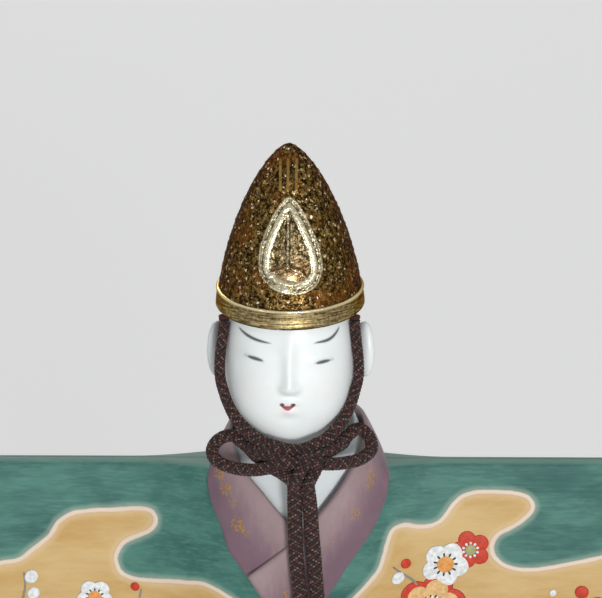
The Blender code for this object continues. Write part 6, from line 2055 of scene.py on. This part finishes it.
# %% Sleeve linings
def cuff_lining(name):
    low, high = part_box(name)
    rows, steps = 120, 20
    turn = np.linspace(0, math.tau, steps, endpoint=False)
    side = math.copysign(1, low.x)
    wide = (high.x - low.x) / 2
    points = []
    for share in np.linspace(0, 1, rows):
        z = mix(low.z, high.z, share)
        end = min(share, 1 - share) * (high.z - low.z) / (2 * MM)
        close = math.sqrt(max(1 - (1 - min(end, 1)) ** 2, 0.02))
        flat = np.abs(np.cos(turn)) ** 0.3 * np.sign(np.cos(turn))
        deep = np.abs(np.sin(turn)) ** 0.8 * np.sign(np.sin(turn))
        x = ((low.x + high.x) / 2 + flat * wide * (0.93 + 0.07 * close)
             - side * 0.12 * MM * (1 + math.sin(share * 40)))
        y = deep * (high.y - low.y) / 2 * close * (0.93 + 0.05 * math.sin(share * 57))
        points.append(np.stack([x, y, np.full(steps, z)], axis=1))
    made = mesh_object(name + "_silk", np.concatenate(points), capped(rows, steps))
    number_attribute(made, "across", np.full(rows * steps, 0.6))
    finish_piece(made, MAUVE_SILK, "mauve_cloth", "torso", name)


for name in ("sleeve_lining_left", "sleeve_lining_right"):
    cuff_lining(name)

# %% [markdown]
# ## Bound cord ends
# Each strap ends under the rim in a whipping of fine thread: a few turns laid side by side.

# %% Whippings
def whipping(name):
    low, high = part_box(name)
    turns = 5
    height = (high.z - low.z) / MM
    share = np.linspace(0, 1, turns * 6 + 1)
    crown = np.abs(np.sin(math.pi * turns * share))
    profile = list(zip(1.08 + 0.12 * crown, height * share))
    inward = -math.copysign(CHEEK_PULL, low.x)
    centre = ((low.x + high.x) / 2 + inward, (low.y + high.y) / 2, low.z)
    made = mesh_object(name + "_thread", turned_rings(profile, centre, 40), capped(len(profile), 40))
    # The crowns of the turns get the braid finish's painted highlight, and the grooves between them its
    # painted shade.
    number_attribute(made, "lift", np.repeat(crown, 40))
    number_attribute(made, "yarn", np.full(len(made.data.vertices), 2.0))
    return finish_piece(made, SILK, "brown_cord", "head", name)


whippings = {side: whipping("cord_anchor_" + side) for side in ("left", "right")}

# %% [markdown]
# ## Lengths of the cords
# Each tail ends in its tassel, and each strap in the bound end that is glued under the rim; the length of
# every free stretch is printed.

for name, (made, points, length, kind) in cords.items():
    side = name.rsplit("_", 1)[1]
    print("declared", name, round(length / MM, 1), "mm")

# %% [markdown]
# ## Wood, felt and steel
# The parts inside keep their solids and get finishes: bare wood with grain along the post and
# peg, grey-black felt, and a turned steel screw.

# %% Finishes of the inner parts
def bare_wood(name, stretch):
    """Pale sanded wood with its grain drawn out along one direction."""
    wood = Finish(name, roughness=0.6, Specular_IOR_Level=0.35)
    grain = wood.noise(2.2 * MM, detail=5.0, roughness=0.6, stretch=stretch)
    pores = wood.noise(0.5 * MM, detail=2.0, stretch=stretch)
    colour = wood.mixed(grain.fade(0.35, 0.65), srgb(186, 148, 104), srgb(214, 182, 138))
    wood.put("Base Color", wood.mixed(pores.fade(0.6, 0.8) * 0.4, colour, srgb(140, 102, 66)))
    wood.put("Roughness", 0.55 + grain * 0.15)
    wood.bump(grain * 0.6 + pores * 0.4, 0.12 * MM, 0.6)
    return wood.material


def dark_felt():
    felt = Finish("dark felt", roughness=0.95, Sheen_Weight=0.3, Sheen_Roughness=0.6)
    fibres = felt.noise(0.35 * MM, detail=4.0, roughness=0.7)
    felt.put("Base Color", felt.mixed(fibres.fade(0.35, 0.7), srgb(22, 22, 24), srgb(62, 60, 62)))
    felt.bump(fibres, 0.2 * MM, 0.9)
    return felt.material


def turned_steel():
    steel = Finish("turned steel", metallic=1.0)
    rings = steel.noise(0.6 * MM, detail=2.0, stretch=(0.2, 0.2, 3.0))
    steel.put("Base Color", steel.mixed(rings, srgb(150, 150, 152), srgb(196, 196, 198)))
    steel.put("Roughness", 0.3 + rings * 0.2)
    return steel.material


def give(node, material):
    """Put a finish on a solid of the frame that stays in view."""
    mesh = bpy.data.objects[node].data
    mesh.materials.clear()
    mesh.materials.append(material)


UPRIGHT_WOOD = bare_wood("wood, upright grain", (1.0, 1.0, 0.12))
FLAT_WOOD = bare_wood("wood, grain across", (0.12, 1.0, 1.0))
FELT = dark_felt()
for node in ("core_post", "neck_peg", "neck_bush"):
    give(node, UPRIGHT_WOOD)
give("base_board", FLAT_WOOD)
give("base_screw", turned_steel())
for node in ["hat_lining"] + [f"felt_pad_{number}" for number in range(1, 5)]:
    give(node, FELT)
for node in [f"robe_pin_{n}" for n in range(1, 9)] + [f"hakama_pin_{n}" for n in range(1, 7)]:
    give(node, FLAT_WOOD)

# %% [markdown]
# ## Floor and light
# A plain pale floor, soft lamps and a pale surrounding show the doll at a plain level, so that its
# colours look as they are.

# %% Stage and lights
FLOOR_TONE = srgb(226, 226, 225)
FLOOR_GLOW = (0.33, 0.33, 0.33, 1)
# Each sun: the place it shines from, how wide it is, and its strength.
SUNS = {
    "front sun": ((0.22, -0.95, 0.255), math.radians(12), 1.78),
    "back sun": ((-0.30, 0.95, 0.70), math.radians(20), 0.50),
}
# Each small lamp: its place, size and power.
GLINTS = {
    "left glint": ((-0.55, -0.60, 0.45), 0.10, 0.30),
    "right glint": ((0.55, -0.55, 0.42), 0.10, 0.30),
    "rim glint": ((0.03, -0.62, 0.03), 0.05, 0.20),
}
WORLD_TONE = (0.90, 0.91, 0.92, 1)
WORLD_STRENGTH = 0.40
WORLD_SEEN_STRENGTH = 0.76


def seen_rays(shader):
    """1 for the rays that show a surface to the eye, also in a mirror or through glass."""
    rays = [shader.node("ShaderNodeLightPath", output=kind) for kind in
            ("Is Camera Ray", "Is Glossy Ray", "Is Transmission Ray")]
    return (rays[0] + rays[1] + rays[2]).least(1.0)


def add_stage():
    """A pale floor. Rays that show it to the eye find it paler than the light alone makes it."""
    floor = mesh_object("floor", [(-3, -3, 0), (3, -3, 0), (3, 3, 0), (-3, 3, 0)], [(0, 1, 2, 3)],
                        outward=False)
    plain = Finish("pale floor", roughness=0.9)
    plain.put("Base Color", FLOOR_TONE)
    plain.put("Emission Color", plain.mixed(seen_rays(plain), (0, 0, 0, 1), FLOOR_GLOW))
    plain.put("Emission Strength", 1.0)
    floor.data.materials.append(plain.material)


def add_lamp(name, kind, place, **settings):
    """A lamp at a place, turned towards the doll's head."""
    data = bpy.data.lights.new(name, kind)
    for key, value in settings.items():
        setattr(data, key, value)
    lamp = bpy.data.objects.new(name, data)
    lamp.location = place
    lamp.rotation_euler = (AIM - Vector(place)).to_track_quat("-Z", "Y").to_euler()
    bpy.context.scene.collection.objects.link(lamp)


class Surroundings(Finish):
    """The world's shader, written like a finish."""

    def __init__(self, name):
        self.material = bpy.data.worlds.new(name)
        self.material.use_nodes = True
        self.tree = self.material.node_tree
        self.shader = self.tree.nodes["Background"]


def add_lights():
    """Two soft suns, three small lamps that make the gold glint, and a pale surrounding."""
    for name, (place, spread, strength) in SUNS.items():
        add_lamp(name, "SUN", place, energy=strength, angle=spread)
    for name, (place, size, power) in GLINTS.items():
        add_lamp(name, "AREA", place, energy=power, size=size)
    sky = Surroundings("studio")
    sky.put("Color", WORLD_TONE)
    sky.put("Strength", WORLD_STRENGTH + (WORLD_SEEN_STRENGTH - WORLD_STRENGTH) * seen_rays(sky))
    bpy.context.scene.world = sky.material


add_stage()
add_lights()
bpy.context.scene.view_settings.view_transform = "Standard"
print("lamps:", len(SUNS) + len(GLINTS))
